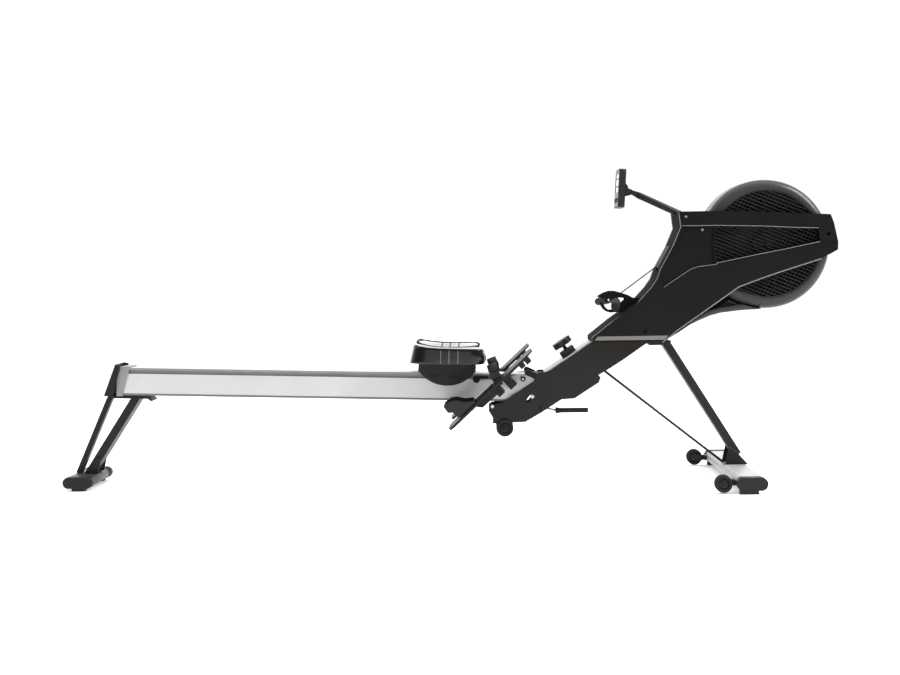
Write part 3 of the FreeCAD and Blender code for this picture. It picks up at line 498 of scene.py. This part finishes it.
def make_seat_pad():
    """Moulded cushion: upright fluted sides, eased shoulder, crowned and hollowed top."""
    segments, middle = 240, 0.005
    rings = [[(x * 0.97, y * 0.98, 0.0) for x, y, z in seat_ring("side", 0.0, segments)]]
    for i in range(11):
        rings.append(seat_ring("side", 0.02 + 0.98 * i / 10, segments))
    for i in range(1, 7):
        rings.append(seat_ring("shoulder", math.radians(15 * i), segments))
    for i in range(1, 24):
        rings.append(seat_ring("top", 0.042 * i, segments))
    verts = [point for ring in rings for point in ring]
    faces = []
    for i in range(len(rings) - 1):
        for j in range(segments):
            n = (j + 1) % segments
            row, above = i * segments, (i + 1) * segments
            faces.append((row + j, row + n, above + n, above + j))
    faces.append(tuple(range(segments))[::-1])
    verts.append((middle, 0, rim_height(middle) + seat_top(middle, 0, 1.0)))
    base = (len(rings) - 1) * segments
    for j in range(segments):
        faces.append((base + j, base + (j + 1) % segments, len(verts) - 1))
    pad = new_object("seat_cushion", verts, faces)
    pad.matrix_world = seat_matrix()
    fix_normals(pad)
    finish_piece(pad, "seat", "seat_leather")
    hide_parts("seat_pad")


TOP_MIDDLE, TOP_HALF_X, TOP_HALF_Y = 0.0005, 0.1135, 0.1445


def on_seat_top(x, y):
    """Point of the cushion's top above the given place."""
    along, across = abs((x - TOP_MIDDLE) / TOP_HALF_X), abs(y / TOP_HALF_Y)
    reach = (along ** SQUARENESS + across ** SQUARENESS) ** (1 / SQUARENESS)
    return (x, y, rim_height(x) + seat_top(x, y, max(1 - reach, 0.0)))


def make_seat_piping():
    """Piped oval and cross seams on the top, and light-grey lines down the sides that are painted highlights
    on the flute edges.
    """
    oval_half_x, oval_half_y, oval_shift, oval_squareness = 0.098, 0.106, 0.002, 3.2
    oval = []
    for i in range(96):
        x, y = rounded_outline(2 * math.pi * i / 96, oval_half_x, oval_half_y, oval_squareness)
        oval.append(on_seat_top(x - oval_shift, y))
    lines = [("seat_piping_oval", oval, 0.0020, True, "matte_black")]
    for n, x in enumerate(FLUTES):
        cross = [on_seat_top(x, -0.100 + 0.200 * i / 30) for i in range(31)]
        lines.append(("seat_piping_%d" % n, cross, 0.0016, False, "matte_black"))
        for side, tag in SIDES:
            y = side * (SEAT_HALF_Y - 0.0006)
            # Light-grey lines down the sides: painted highlights on the edges of the flutes.
            flute_highlight = [(x, y, 0.003 + (rim_height(x) - 0.010) * i / 8) for i in range(9)]
            lines.append(("seat_flute_highlight_%s_%d" % (tag, n), flute_highlight, 0.0013, False, "light_trim"))
    for name, points, radius, closed, slot in lines:
        piping = tube_path(name, points, radius, closed)
        piping.matrix_world = seat_matrix()
        finish_piece(piping, "seat", slot)


# ---- rail ---------------------------------------------------------------------------------
def make_rail_strips():
    """Grey strip in each side groove and grey band along the rail's top edge, both painted shade, and light
    strip along the lower edge.
    """
    rear, front = -1.2475, 0.0115
    # The first two strips are grey painted shade: in the side groove and along the rail's top edge.
    strips = (("groove_shade", 0.0249, 0.0256, -0.0034, 0.0084, "collar_grey"),
              ("rail_edge_shade", 0.0328, 0.0334, 0.0086, 0.0146, "collar_grey"),
              ("rail_foot", 0.0328, 0.0335, -0.0709, -0.0645, "light_trim"))
    for side, tag in SIDES:
        for name, y_in, y_out, z0, z1, slot in strips:
            y0, y1 = sorted((side * y_in, side * y_out))
            strip = box_mesh(name + "_" + tag, (rear, y0, z0), (front, y1, z1), rail_matrix(), 0.0001)
            finish_piece(strip, "rail", slot)


def make_cap_cheeks():
    """Side cheeks of the slanted end cap, outside the grey collar."""
    inside, outside = 0.0363, 0.0415
    outline = ((-1.266, -0.0267), (-1.2563, 0.015), (-1.2530, 0.022), (-1.266, 0.0249))
    for side, tag in SIDES:
        verts = [(x, side * y, z) for y in (inside, outside) for x, z in outline]
        faces = [(0, 1, 2, 3), (7, 6, 5, 4)]
        faces += [(i, i + 4, (i + 1) % 4 + 4, (i + 1) % 4) for i in range(4)]
        cheek = new_object("cap_cheek_" + tag, verts, faces, smooth=False)
        cheek.matrix_world = rail_matrix()
        fix_normals(cheek)
        bevel(cheek, 0.0008, 2)
        finish_piece(cheek, "rail", "black_plastic")


# ---- fan housing --------------------------------------------------------------------------
RING_IN, RING_OUT, RING_FACE, RING_SIDE = 0.168, 0.200, 0.0655, 0.036


def make_fan_shell():
    """Glossy rounded ring on each side and the drum between them, turned in one piece."""
    wall = 0.004
    face_width = 0.004
    arc = []
    for i in range(15):
        a = math.radians(90) * i / 14
        r = RING_IN + face_width + (RING_OUT - RING_IN - face_width) * math.sin(a)
        y = RING_SIDE + (RING_FACE - RING_SIDE) * math.cos(a)
        arc.append((r, y))
    lip = [(RING_IN, RING_FACE - 0.008), (RING_IN, RING_FACE - 0.0015), (RING_IN + 0.0015, RING_FACE)]
    outside = lip + arc + [(r, -y) for r, y in reversed(arc)] + [(r, -y) for r, y in reversed(lip)]
    inside = [(RING_IN + wall, -RING_FACE + 0.010), (RING_OUT - wall, -RING_SIDE + 0.006),
              (RING_OUT - wall, RING_SIDE - 0.006), (RING_IN + wall, RING_FACE - 0.010)]
    shell = lathe_y("fan_housing_shell", FAN, outside + inside, 180)
    bevel(shell, 0.0006, 2, 50)
    finish_piece(shell, "frame", "fan_gloss")
    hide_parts("fan_shell")
    for side, tag in SIDES:
        profile = [(RING_OUT - 0.001, side * 0.0300), (RING_OUT + 0.0004, side * 0.0304),
                   (RING_OUT + 0.0004, side * 0.0318), (RING_OUT - 0.001, side * 0.0322)]
        seam = lathe_y("shell_seam_" + tag, FAN, profile, 180)
        finish_piece(seam, "frame", "black_plastic")


# Each layer of guard wires: tilt in degrees, its planes in Y and a wire's half width.
WIRE_LAYERS = ((-22.0, 0.0603, 0.0620, 0.0015), (58.0, 0.0594, 0.0603, 0.0006))


def make_mesh_guard(side, tag, node):
    """Flat guard of two layers of fine slanting wires inside a hoop."""
    verts = []
    faces = []
    reach = RING_IN + 0.001
    pitch = 0.0108
    count = int(2 * reach / pitch)

    def wire(a, b, y0, y1, wide):
        along = (b - a).normalized()
        off = Vector((-along.z, 0, along.x)) * wide
        f = len(verts)
        for p in (a, b):
            for y in (y0, y1):
                verts.append((p.x - off.x, side * y, p.z - off.z))
                verts.append((p.x + off.x, side * y, p.z + off.z))
        faces.extend([(f, f + 1, f + 3, f + 2), (f + 4, f + 6, f + 7, f + 5), (f, f + 2, f + 6, f + 4),
                      (f + 1, f + 5, f + 7, f + 3), (f, f + 4, f + 5, f + 1), (f + 2, f + 3, f + 7, f + 6)])

    for tilt, y0, y1, half in WIRE_LAYERS:
        a = math.radians(tilt)
        along = Vector((math.cos(a), 0, math.sin(a)))
        across = Vector((-math.sin(a), 0, math.cos(a)))
        for i in range(1, count):
            d = -reach + i * pitch
            chord = math.sqrt(max(reach ** 2 - d ** 2, 0.0))
            middle = FAN + across * d
            wire(middle - along * chord, middle + along * chord, y0, y1, half)
    guard = new_object("fan_mesh_" + tag, verts, faces, smooth=False)
    fix_normals(guard)
    finish_piece(guard, "frame", "guard_steel")
    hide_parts(node)
    hoop_in, back, face = RING_IN - 0.004, side * 0.0585, side * 0.0628
    profile = [(hoop_in, back), (hoop_in, face), (reach, face), (reach, back)]
    hoop = lathe_y("mesh_hoop_" + tag, FAN, profile, 128)
    finish_piece(hoop, "frame", "guard_steel")
    boss_radius, back, face = 0.0095, side * 0.0601, side * 0.0624
    profile = [(0.0, back), (0.0, face), (boss_radius, face), (boss_radius, back)]
    boss = lathe_y("mesh_boss_" + tag, FAN, profile, 32)
    finish_piece(boss, "frame", "matte_black")


def make_fan_shade_sheets():
    """Flat inner ring on each side of the flywheel, between its blades and the wire guard; its matt black is
    painted shade for the inside of the fan housing.
    """
    inner, outer = 0.138, 0.197
    for side, tag in SIDES:
        near, far = side * 0.0372, side * 0.0385
        profile = [(inner, near), (inner, far), (outer, far), (outer, near)]
        shade_sheet = lathe_y("fan_shade_sheet_" + tag, FAN, profile, 128)
        # Matt black sheet: painted shade inside the fan housing.
        finish_piece(shade_sheet, "frame", "matte_black")


# ---- covers -------------------------------------------------------------------------------
COVER_FACE, HIGHLIGHT_BEAD_RADIUS = 0.0810, 0.0011
CREASE = ((0.652, 0.606), (0.700, 0.638), (0.736, 0.661), (0.758, 0.668), (0.812, 0.674), (0.818, 0.679),
          (0.949, 0.705), (1.021, 0.718), (1.134, 0.741))
BAR_EDGE = ((0.709, 0.794), (0.816, 0.794), (0.950, 0.791), (1.060, 0.785), (1.130, 0.783))


def make_highlight_beads():
    """Thin light-grey bead along the crease, the window's lower edge and the upper bar's lower edge: painted
    highlights on these edges.
    """
    for side, tag in SIDES:
        for name, path in (("crease_highlight_bead_", CREASE), ("bar_highlight_bead_", BAR_EDGE)):
            line = [(x + SHIFT, side * COVER_FACE, z) for x, z in path]
            bead = tube_path(name + tag, line, HIGHLIGHT_BEAD_RADIUS)
            # Light-grey beads: painted highlights along the shroud's edges.
            finish_piece(bead, "frame", "light_trim")


def make_bolt_caps():
    """Dark caps over the ends of the lever's pivot and of the small wheels' axle."""
    radius, face_radius, edge, thick = 0.0050, 0.0046, 0.0008, 0.0010
    for name, x, z, start in (("pivot_cap_", 0.275, 0.232, 0.0481), ("axle_cap_", 0.158, 0.173, 0.0502)):
        centre = Vector((x + SHIFT, 0, z))
        for side, tag in SIDES:
            profile = [(0.0, side * start), (radius, side * start), (face_radius, side * (start + edge)),
                       (0.0, side * (start + thick))]
            cap = lathe_y(name + tag, centre, profile, 32)
            finish_piece(cap, "frame", "black_plastic")


# ---- fairing under the fan ----------------------------------------------------------------
BELLY_LOW = ((0.672, 0.449), (0.697, 0.463), (0.737, 0.489), (0.800, 0.515), (0.831, 0.523), (0.881, 0.529),
             (0.920, 0.532), (0.955, 0.534))
BELLY_HIGH = ((0.672, 0.4492), (0.696, 0.466), (0.766, 0.514), (0.884, 0.596), (0.960, 0.620))


RING_CLEAR = 0.2003                 # the fairing stays outside this radius of the fan housing
BAND_HALF_Y, BAND_HEIGHT, BAND_ROUND = 0.060, 0.018, 0.013
CORE_HALF_Y = 0.050


def along_line(points, x):
    """Height of a broken line at x."""
    for (x0, z0), (x1, z1) in zip(points, points[1:]):
        if x <= x1:
            return z0 + (z1 - z0) * (x - x0) / (x1 - x0)
    return points[-1][1]


def under_ring(x):
    """Height of the fan housing's round underside above the given place."""
    reach = FAN.x - SHIFT - x
    if abs(reach) >= RING_CLEAR:
        return 1.0
    return FAN.z - math.sqrt(RING_CLEAR ** 2 - reach ** 2)


def loft_along_x(name, stations, section):
    """Closed skin through one section of equal point count at each station."""
    verts = []
    rings = [section(x) for x in stations]
    count = len(rings[0])
    for x, ring in zip(stations, rings):
        verts.extend((x + SHIFT, y, z) for y, z in ring)
    faces = []
    for i in range(len(stations) - 1):
        for j in range(count):
            n = (j + 1) % count
            ring, following = i * count, (i + 1) * count
            faces.append((ring + j, ring + n, following + n, following + j))
    faces.append(tuple(range(count)))
    faces.append(tuple(range((len(stations) - 1) * count, len(stations) * count))[::-1])
    obj = new_object(name, verts, faces)
    fix_normals(obj)
    return obj


def belly_band(x):
    """Rounded lower band of the fairing in YZ."""
    low = along_line(BELLY_LOW, x)
    high = min(low + BAND_HEIGHT, along_line(BELLY_HIGH, x), under_ring(x))
    r = min(BAND_ROUND, (high - low) * 0.9)
    half = [(BAND_HALF_Y, high), (BAND_HALF_Y, low + r)]
    for i in range(1, 9):
        a = math.radians(90) * i / 8
        half.append((BAND_HALF_Y - r + r * math.cos(a), low + r - r * math.sin(a)))
    return half + [(-y, z) for y, z in reversed(half)]


def belly_shade_core(x):
    """Narrower block between the band and the housing above it, set back; its black colour is painted shade
    under the fan housing.
    """
    low = along_line(BELLY_LOW, x) + 0.002
    high = max(min(along_line(BELLY_HIGH, x), under_ring(x)), low + 0.0004)
    return [(CORE_HALF_Y, high), (CORE_HALF_Y, low), (-CORE_HALF_Y, low), (-CORE_HALF_Y, high)]


def make_belly():
    stations = [0.673 + 0.282 * i / 47 for i in range(48)]
    band = loft_along_x("belly_band", stations, belly_band)
    bevel(band, 0.0008, 2, 60)
    finish_piece(band, "frame", "fan_gloss")
    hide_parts("belly_cover")
    core = loft_along_x("belly_shade_core", stations, belly_shade_core)
    # Black gloss on the narrower block: painted shade under the fan housing, over the grey of the fairing.
    finish_piece(core, "frame", "gloss_shroud")


# ---- straps -------------------------------------------------------------------------------
PEDAL_IN, PEDAL_OUT = 0.058, 0.172
STRAP_ALONG, STRAP_LEAN = 0.205, math.radians(22.0)
STRAP_WIDTH, SLEEVE_WIDTH, END_WIDTH = 0.026, 0.030, 0.022
BAND_POINTS = (-0.5, -0.46, 0.0, 0.46, 0.5)     # points of a band's section, as parts of its width
THIN_EDGE = 0.35                    # a band's outer edge against its full thickness


def pedal_matrix():
    return Matrix.Translation(HEEL) @ Matrix.Rotation(-PEDAL_ANGLE, 4, "Y")


def band(name, centre_line, width, thick, axis, matrix):
    """Flat band along a line of points; axis is the direction of its width."""
    verts = []
    faces = []
    axis = Vector(axis).normalized()
    count = len(centre_line)
    for i, point in enumerate(centre_line):
        before = centre_line[max(i - 1, 0)]
        after = centre_line[min(i + 1, count - 1)]
        out = axis.cross((Vector(after) - Vector(before)).normalized()) * thick / 2
        for face, places in ((1, BAND_POINTS), (-1, BAND_POINTS[::-1])):
            for across in places:
                swell = THIN_EDGE if abs(across) == 0.5 else 1.0
                verts.append(Vector(point) + axis * across * width + out * (face * swell))
    row = 2 * len(BAND_POINTS)
    for i in range(count - 1):
        a, b = i * row, (i + 1) * row
        for j in range(row):
            k = (j + 1) % row
            faces.append((a + j, b + j, b + k, a + k))
    faces.append(tuple(range(row))[::-1])
    faces.append(tuple(range((count - 1) * row, count * row)))
    obj = new_object(name, verts, faces)
    obj.matrix_world = matrix
    fix_normals(obj)
    return obj


def box_mesh(name, low, high, matrix, ease):
    """Box between two corners, with eased edges."""
    verts = [(x, y, z) for x in (low[0], high[0]) for y in (low[1], high[1]) for z in (low[2], high[2])]
    faces = [(0, 1, 3, 2), (4, 6, 7, 5), (0, 4, 5, 1), (2, 3, 7, 6), (0, 2, 6, 4), (1, 5, 7, 3)]
    obj = new_object(name, verts, faces, smooth=False)
    obj.matrix_world = matrix
    fix_normals(obj)
    bevel(obj, ease, 2)
    return obj


def make_foot_strap(side, tag):
    """Webbing over the instep, padded sleeve in its middle, buckle and free end on the outside."""
    inset = 0.006
    inner, outer = PEDAL_IN + inset, PEDAL_OUT - inset
    middle, half = (inner + outer) / 2, (outer - inner) / 2
    place = pedal_matrix() @ Matrix.Translation((STRAP_ALONG, 0, 0)) @ Matrix.Rotation(STRAP_LEAN, 4, "Y")
    line = [(0, side * inner, -0.0105), (0, side * inner, 0.004)]
    for i in range(33):
        a = math.pi * i / 32
        line.append((0, side * (middle - half * math.cos(a)), 0.014 + 0.037 * math.sin(a) ** 0.8))
    line += [(0, side * outer, 0.004), (0, side * outer, -0.0105)]
    strap = band("foot_strap_" + tag, line, STRAP_WIDTH, 0.0019, (1, 0, 0), place)
    finish_piece(strap, "frame", "strap_webbing")
    sleeve_line = [(x, y, z + 0.0018) for x, y, z in line[8:30]]
    sleeve = band("strap_sleeve_" + tag, sleeve_line, SLEEVE_WIDTH, 0.0040, (1, 0, 0), place)
    finish_piece(sleeve, "frame", "black_rubber")
    under_line = [(-0.004, side * y, -0.010) for y in (inner, middle, outer)]
    flat = pedal_matrix() @ Matrix.Translation((STRAP_ALONG, 0, 0))
    under = band("strap_under_" + tag, under_line, 0.024, 0.0018, (1, 0, 0), flat)
    finish_piece(under, "frame", "strap_webbing")
    y0, y1 = sorted((side * (PEDAL_OUT - 0.0058), side * (PEDAL_OUT + 0.0008)))
    buckle = box_mesh("strap_buckle_" + tag, (-0.0158, y0, 0.016), (0.0158, y1, 0.034), place, 0.0018)
    finish_piece(buckle, "frame", "black_plastic")
    tail = [(0.000, side * (PEDAL_OUT - 0.002), 0.032), (0.002, side * (PEDAL_OUT - 0.001), 0.040),
            (0.004, side * (PEDAL_OUT - 0.001), 0.046)]
    free_end = band("strap_end_" + tag, tail, END_WIDTH, 0.0018, (1, 0, 0.2), place)
    finish_piece(free_end, "frame", "strap_webbing")
    return strap


def make_foot_straps():
    first = make_foot_strap(1, "left")
    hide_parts("foot_straps")
    make_foot_strap(-1, "right")


def make_fold_rings():
    """Dark ring on each head of the fold bolt, round its light centre."""
    inner, outer = 0.0036, 0.0079
    for side, tag in SIDES:
        back, face = side * 0.0461, side * 0.0468
        profile = [(inner, back), (inner, face), (outer, face), (outer, back)]
        ring = lathe_y("fold_ring_" + tag, FOLD, profile, 48)
        finish_piece(ring, "frame", "matte_black")


def make_pull_strap():
    """Woven pull strap: from the clip over the fairlead roller and in to the drum."""
    roller = Vector((0.662 + SHIFT, 0, 0.672))
    drum = Vector((0.735 + SHIFT, 0, 0.640))
    start = Vector((0.5284 + SHIFT, 0, 0.5869))
    r, drum_r = 0.0101, 0.0331
    up = math.atan2(roller.z - start.z, roller.x - start.x)
    far = (roller - start).length
    first = up + math.asin(r / far) + math.pi / 2
    down = math.atan2(drum.z - roller.z, drum.x - roller.x)
    last = down + math.pi / 2 - math.asin((r - drum_r) / (drum - roller).length)
    touch = roller + Vector((math.cos(first), 0, math.sin(first))) * r
    line = [start.lerp(touch, i / 60) for i in range(60)]
    for i in range(9):
        a = first + (last - first) * i / 8
        line.append(roller + Vector((math.cos(a), 0, math.sin(a))) * r)
    line.append(drum + Vector((math.cos(last), 0, math.sin(last))) * drum_r)
    strap = band("pull_webbing", line, 0.024, 0.0016, (0, 1, 0), Matrix.Identity(4))
    paint(strap, "strap_webbing")
    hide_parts("pull_strap")
    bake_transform(strap)


# ---- wheels -------------------------------------------------------------------------------
def make_wheel(name, body, node, centre, y_mid, radius, width, hub_radius):
    """Moulded tyre with a shallow groove, and a dished hub with a bore through it."""
    w, r = width / 2, radius
    half_tyre = [(r - 0.0012, w * 0.10), (r, w * 0.16), (r, w * 0.72), (r * 0.93, w), (r * 0.80, w),
                 (hub_radius, w * 0.8)]
    tyre_profile = [(radius_at, y_mid - y) for radius_at, y in half_tyre[::-1]]
    tyre_profile += [(radius_at, y_mid + y) for radius_at, y in half_tyre]
    tyre = lathe_y(name + "_tyre", centre, tyre_profile, 72)
    bevel(tyre, 0.0006, 2, 30)
    finish_piece(tyre, body, "wheel_rubber")
    bore = 0.0041
    half_hub = [(hub_radius, w * 0.55), (hub_radius - 0.002, w * 0.55), (0.010, w * 0.95), (bore, w * 0.95)]
    hub_profile = [(radius_at, y_mid - y) for radius_at, y in half_hub[::-1]]
    hub_profile += [(radius_at, y_mid + y) for radius_at, y in half_hub]
    hub = lathe_y(name + "_hub", centre, hub_profile, 48)
    finish_piece(hub, body, "black_plastic")
    if node:
        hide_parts(node)


def make_wheels():
    """Two transport wheels at the front foot, then two small wheels under the arm."""
    hub_radius = 0.016
    front = Vector((0.796 + SHIFT, 0, 0.029))
    for side, tag in SIDES:
        make_wheel("transport_wheel_" + tag, "wheel_" + tag, "front_wheel_" + tag, front,
                   side * 0.228, 0.026, 0.022, hub_radius)
    under = Vector((0.158 + SHIFT, 0, 0.173))
    for side, tag in SIDES:
        make_wheel("rest_wheel_" + tag, "rest_wheels", "mid_wheels" if side == 1 else None, under,
                   side * 0.0385, 0.027, 0.021, hub_radius)


# ---- handle -------------------------------------------------------------------------------
def turned_along(name, start, direction, profile):
    """Turned part about any axis: profile is a list of (radius, distance along the axis)."""
    segments = 48
    axis = Vector(direction).normalized()
    u = axis.orthogonal().normalized()
    v = axis.cross(u)
    verts = []
    faces = []
    rows = len(profile)
    for i in range(segments):
        a = 2 * math.pi * i / segments
        for r, d in profile:
            verts.append(Vector(start) + axis * d + (u * math.cos(a) + v * math.sin(a)) * r)
    for i in range(segments):
        n = (i + 1) % segments
        for j in range(rows):
            k = (j + 1) % rows
            faces.append((i * rows + j, i * rows + k, n * rows + k, n * rows + j))
    obj = new_object(name, verts, faces)
    fix_normals(obj)
    return obj


GRIP_LONG, BAR_RADIUS = 0.132, 0.0056
GRIP_RADIUS, GRIP_SWELL, GRIP_ROUND = 0.0125, 0.0008, 0.004


def make_grips():
    """Soft foam grips, slightly swollen where the palms go, with a rubber ring at each end."""
    gap = 0.006                         # bare bar between its bend and the grip
    for side, tag in SIDES:
        root = Vector((0.502 + SHIFT, side * 0.100, 0.564))
        tip = Vector((0.482 + SHIFT, side * 0.242, 0.553))
        axis = (tip - root).normalized()
        start = root + axis * gap
        outline = []
        for i in range(25):
            d = GRIP_LONG * i / 24
            swell = GRIP_RADIUS + GRIP_SWELL * math.sin(math.pi * i / 24)
            near_ends = max(0, 1 - d / GRIP_ROUND) ** 2 + max(0, 1 - (GRIP_LONG - d) / GRIP_ROUND) ** 2
            ease = 1 - 0.22 * near_ends
            outline.append((swell * ease, d))
        profile = [(BAR_RADIUS, 0.0)] + outline + [(BAR_RADIUS, GRIP_LONG)]
        grip = turned_along("grip_foam_" + tag, start, axis, profile)
        finish_piece(grip, "handle", "grip_foam")
        if side == 1:
            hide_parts("handle_grips")
        end = [(0.0, 0.1322), (0.0118, 0.1322), (0.0125, 0.1335), (0.0122, 0.1365), (0.008, 0.1382),
               (0.0, 0.1386)]
        cap = turned_along("grip_cap_" + tag, start, axis, end)
        finish_piece(cap, "handle", "black_rubber")
        collar = [(BAR_RADIUS, -0.006), (0.0090, -0.006), (0.0112, -0.004), (0.0112, -0.0004),
                  (BAR_RADIUS, -0.0004)]
        ring = turned_along("grip_ring_" + tag, start, axis, collar)
        finish_piece(ring, "handle", "black_rubber")


# ---- monitor ------------------------------------------------------------------------------
def monitor_matrix():
    return Matrix.Translation((0.532 + SHIFT, 0, 0.915)) @ Matrix.Rotation(math.radians(3.6), 4, "Y")


def make_monitor_face():
    """Light fascia round the display, plain bar segments on it and a row of rubber keys."""
    place = monitor_matrix()
    half_y, half_z, window_half_y, window_low, window_high = 0.046, 0.056, 0.0375, -0.0115, 0.0455
    face, back = -0.0128, -0.0119
    outer = [(-half_y, -half_z), (half_y, -half_z), (half_y, half_z), (-half_y, half_z)]
    inner = [(-window_half_y, window_low), (window_half_y, window_low), (window_half_y, window_high),
             (-window_half_y, window_high)]
    verts = []
    faces = []
    for x in (face, back):
        for y, z in outer + inner:
            verts.append((x, y, z))
    for i in range(4):
        n = (i + 1) % 4
        faces.append((i, n, n + 4, i + 4))
        faces.append((i + 8, i + 12, n + 12, n + 8))
        faces.append((i, i + 8, n + 8, n))
        faces.append((i + 4, n + 4, n + 12, i + 12))
    bezel = new_object("monitor_bezel", verts, faces, smooth=False)
    bezel.matrix_world = place
    fix_normals(bezel)
    bevel(bezel, 0.0007, 2)
    finish_piece(bezel, "monitor", "light_trim")
    bar_half_y, bar_half_z, key_half_y = 0.0055, 0.003, 0.009
    for row in range(2):
        for col in range(4):
            y = 0.026 - 0.0165 * col
            z = 0.030 - 0.024 * row
            bar = box_mesh("display_bar_%d_%d" % (row, col), (-0.01165, y - bar_half_y, z - bar_half_z),
                           (-0.01135, y + bar_half_y, z + bar_half_z), place, 0.0001)
            finish_piece(bar, "monitor", "monitor_plastic")
    for i in range(3):
        y = -0.026 + 0.026 * i
        low, high = (-0.0140, y - key_half_y, -0.044), (-0.0127, y + key_half_y, -0.030)
        key = box_mesh("monitor_key_%d" % i, low, high, place, 0.0005)
        finish_piece(key, "monitor", "black_rubber")


# ---- stage, light and camera --------------------------------------------------------------
FLOOR_GLOW = 0.26                   # keeps the floor near white where the lamps do not reach
SEEN_WHITE = 1.05                   # strength of the surroundings as the camera sees them
# How strongly the surroundings light the scene: direction, where it starts and ends, weakest, strongest.
FROM_BEHIND = ("Y", -0.2, 0.9, 0.10, 1.7)
FROM_ABOVE = ("Z", 0.25, 0.85, 0.10, 1.25)


def make_floor():
    """Wide pale floor just under the feet."""
    mesh = bpy.data.meshes.new("floor")
    level = -0.0005
    corners = [(-12, -8, level), (12, -8, level), (12, 14, level), (-12, 14, level)]
    mesh.from_pydata(corners, [], [(0, 1, 2, 3)])
    floor = bpy.data.objects.new("floor", mesh)
    bpy.context.scene.collection.objects.link(floor)
    s = Shader("floor_paint")
    s.colour(s.mixed(s.noise(1.5, 3.0), (0.93, 0.93, 0.93), (0.95, 0.95, 0.95)))
    s.roughness(s.ranged(s.noise(9.0, 3.0), 0.72, 0.82))
    s.plain(Emission_Color=(1, 1, 1, 1), Emission_Strength=FLOOR_GLOW)
    mesh.materials.append(s.mat)


def area_light(name, place, aim, size, power):
    data = bpy.data.lights.new(name, "AREA")
    data.shape = "RECTANGLE"
    data.size, data.size_y = size
    data.energy = power
    obj = bpy.data.objects.new(name, data)
    obj.location = place
    obj.rotation_euler = (Vector(aim) - Vector(place)).to_track_quat("-Z", "Y").to_euler()
    bpy.context.scene.collection.objects.link(obj)


def make_world():
    """White surroundings for the camera; the light they give is strong above and behind."""
    world = bpy.data.worlds.new("studio")
    world.use_nodes = True
    tree = world.node_tree
    background = tree.nodes["Background"]
    coords = tree.nodes.new("ShaderNodeTexCoord")
    parts = tree.nodes.new("ShaderNodeSeparateXYZ")
    tree.links.new(coords.outputs["Generated"], parts.inputs["Vector"])

    def graded(output, start, end, low, high):
        graded_value = tree.nodes.new("ShaderNodeMapRange")
        graded_value.inputs["From Min"].default_value = start
        graded_value.inputs["From Max"].default_value = end
        graded_value.inputs["To Min"].default_value = low
        graded_value.inputs["To Max"].default_value = high
        tree.links.new(parts.outputs[output], graded_value.inputs["Value"])
        return graded_value.outputs["Result"]

    strongest = tree.nodes.new("ShaderNodeMath")
    strongest.operation = "MAXIMUM"
    tree.links.new(graded(*FROM_BEHIND), strongest.inputs[0])
    tree.links.new(graded(*FROM_ABOVE), strongest.inputs[1])
    seen = tree.nodes.new("ShaderNodeLightPath")
    mixed = tree.nodes.new("ShaderNodeMix")
    tree.links.new(seen.outputs["Is Camera Ray"], mixed.inputs["Factor"])
    tree.links.new(strongest.outputs["Value"], mixed.inputs["A"])
    mixed.inputs["B"].default_value = SEEN_WHITE
    tree.links.new(mixed.outputs["Result"], background.inputs["Strength"])
    background.inputs["Color"].default_value = (1, 1, 1, 1)
    bpy.context.scene.world = world


def make_lights():
    """Name, place, aim, size and power of each lamp."""
    area_light("overhead", (0.1, 0.3, 3.3), (0, 0, 0.3), (4.5, 1.2), 45)
    area_light("upper_right", (2.9, -0.8, 2.5), (0.95, 0, 0.75), (1.5, 1.5), 150)
    area_light("left", (-2.9, -1.3, 1.6), (-0.2, 0, 0.4), (0.7, 1.5), 25)


def make_camera():
    """Level camera, square to the machine, slightly rolled."""
    data = bpy.data.cameras.new("camera")
    data.sensor_width = 36.0
    data.lens = 43.87
    data.shift_x = -0.040
    data.shift_y = -0.0794
    data.clip_end = 60
    camera = bpy.data.objects.new("camera", data)
    place, roll = (0.105 + SHIFT, -3.455, 0.677), math.radians(-0.65)
    level = Matrix.Rotation(math.radians(90), 4, "X")
    camera.matrix_world = Matrix.Translation(place) @ level @ Matrix.Rotation(roll, 4, "Z")
    bpy.context.scene.collection.objects.link(camera)
    bpy.context.scene.camera = camera


def set_view():
    settings = bpy.context.scene.view_settings
    settings.view_transform = "Standard"
    settings.look = "None"


dress_cad_nodes()
make_seat_pad()
make_seat_piping()
make_rail_strips()
make_fan_shell()
make_fan_shade_sheets()
make_highlight_beads()
make_bolt_caps()
make_cap_cheeks()
for guard_side, guard_tag in SIDES:
    make_mesh_guard(guard_side, guard_tag, "fan_guard_" + guard_tag)
make_belly()
make_foot_straps()
make_fold_rings()
make_pull_strap()
make_wheels()
make_grips()
make_monitor_face()
make_floor()
make_world()
make_lights()
make_camera()
set_view()
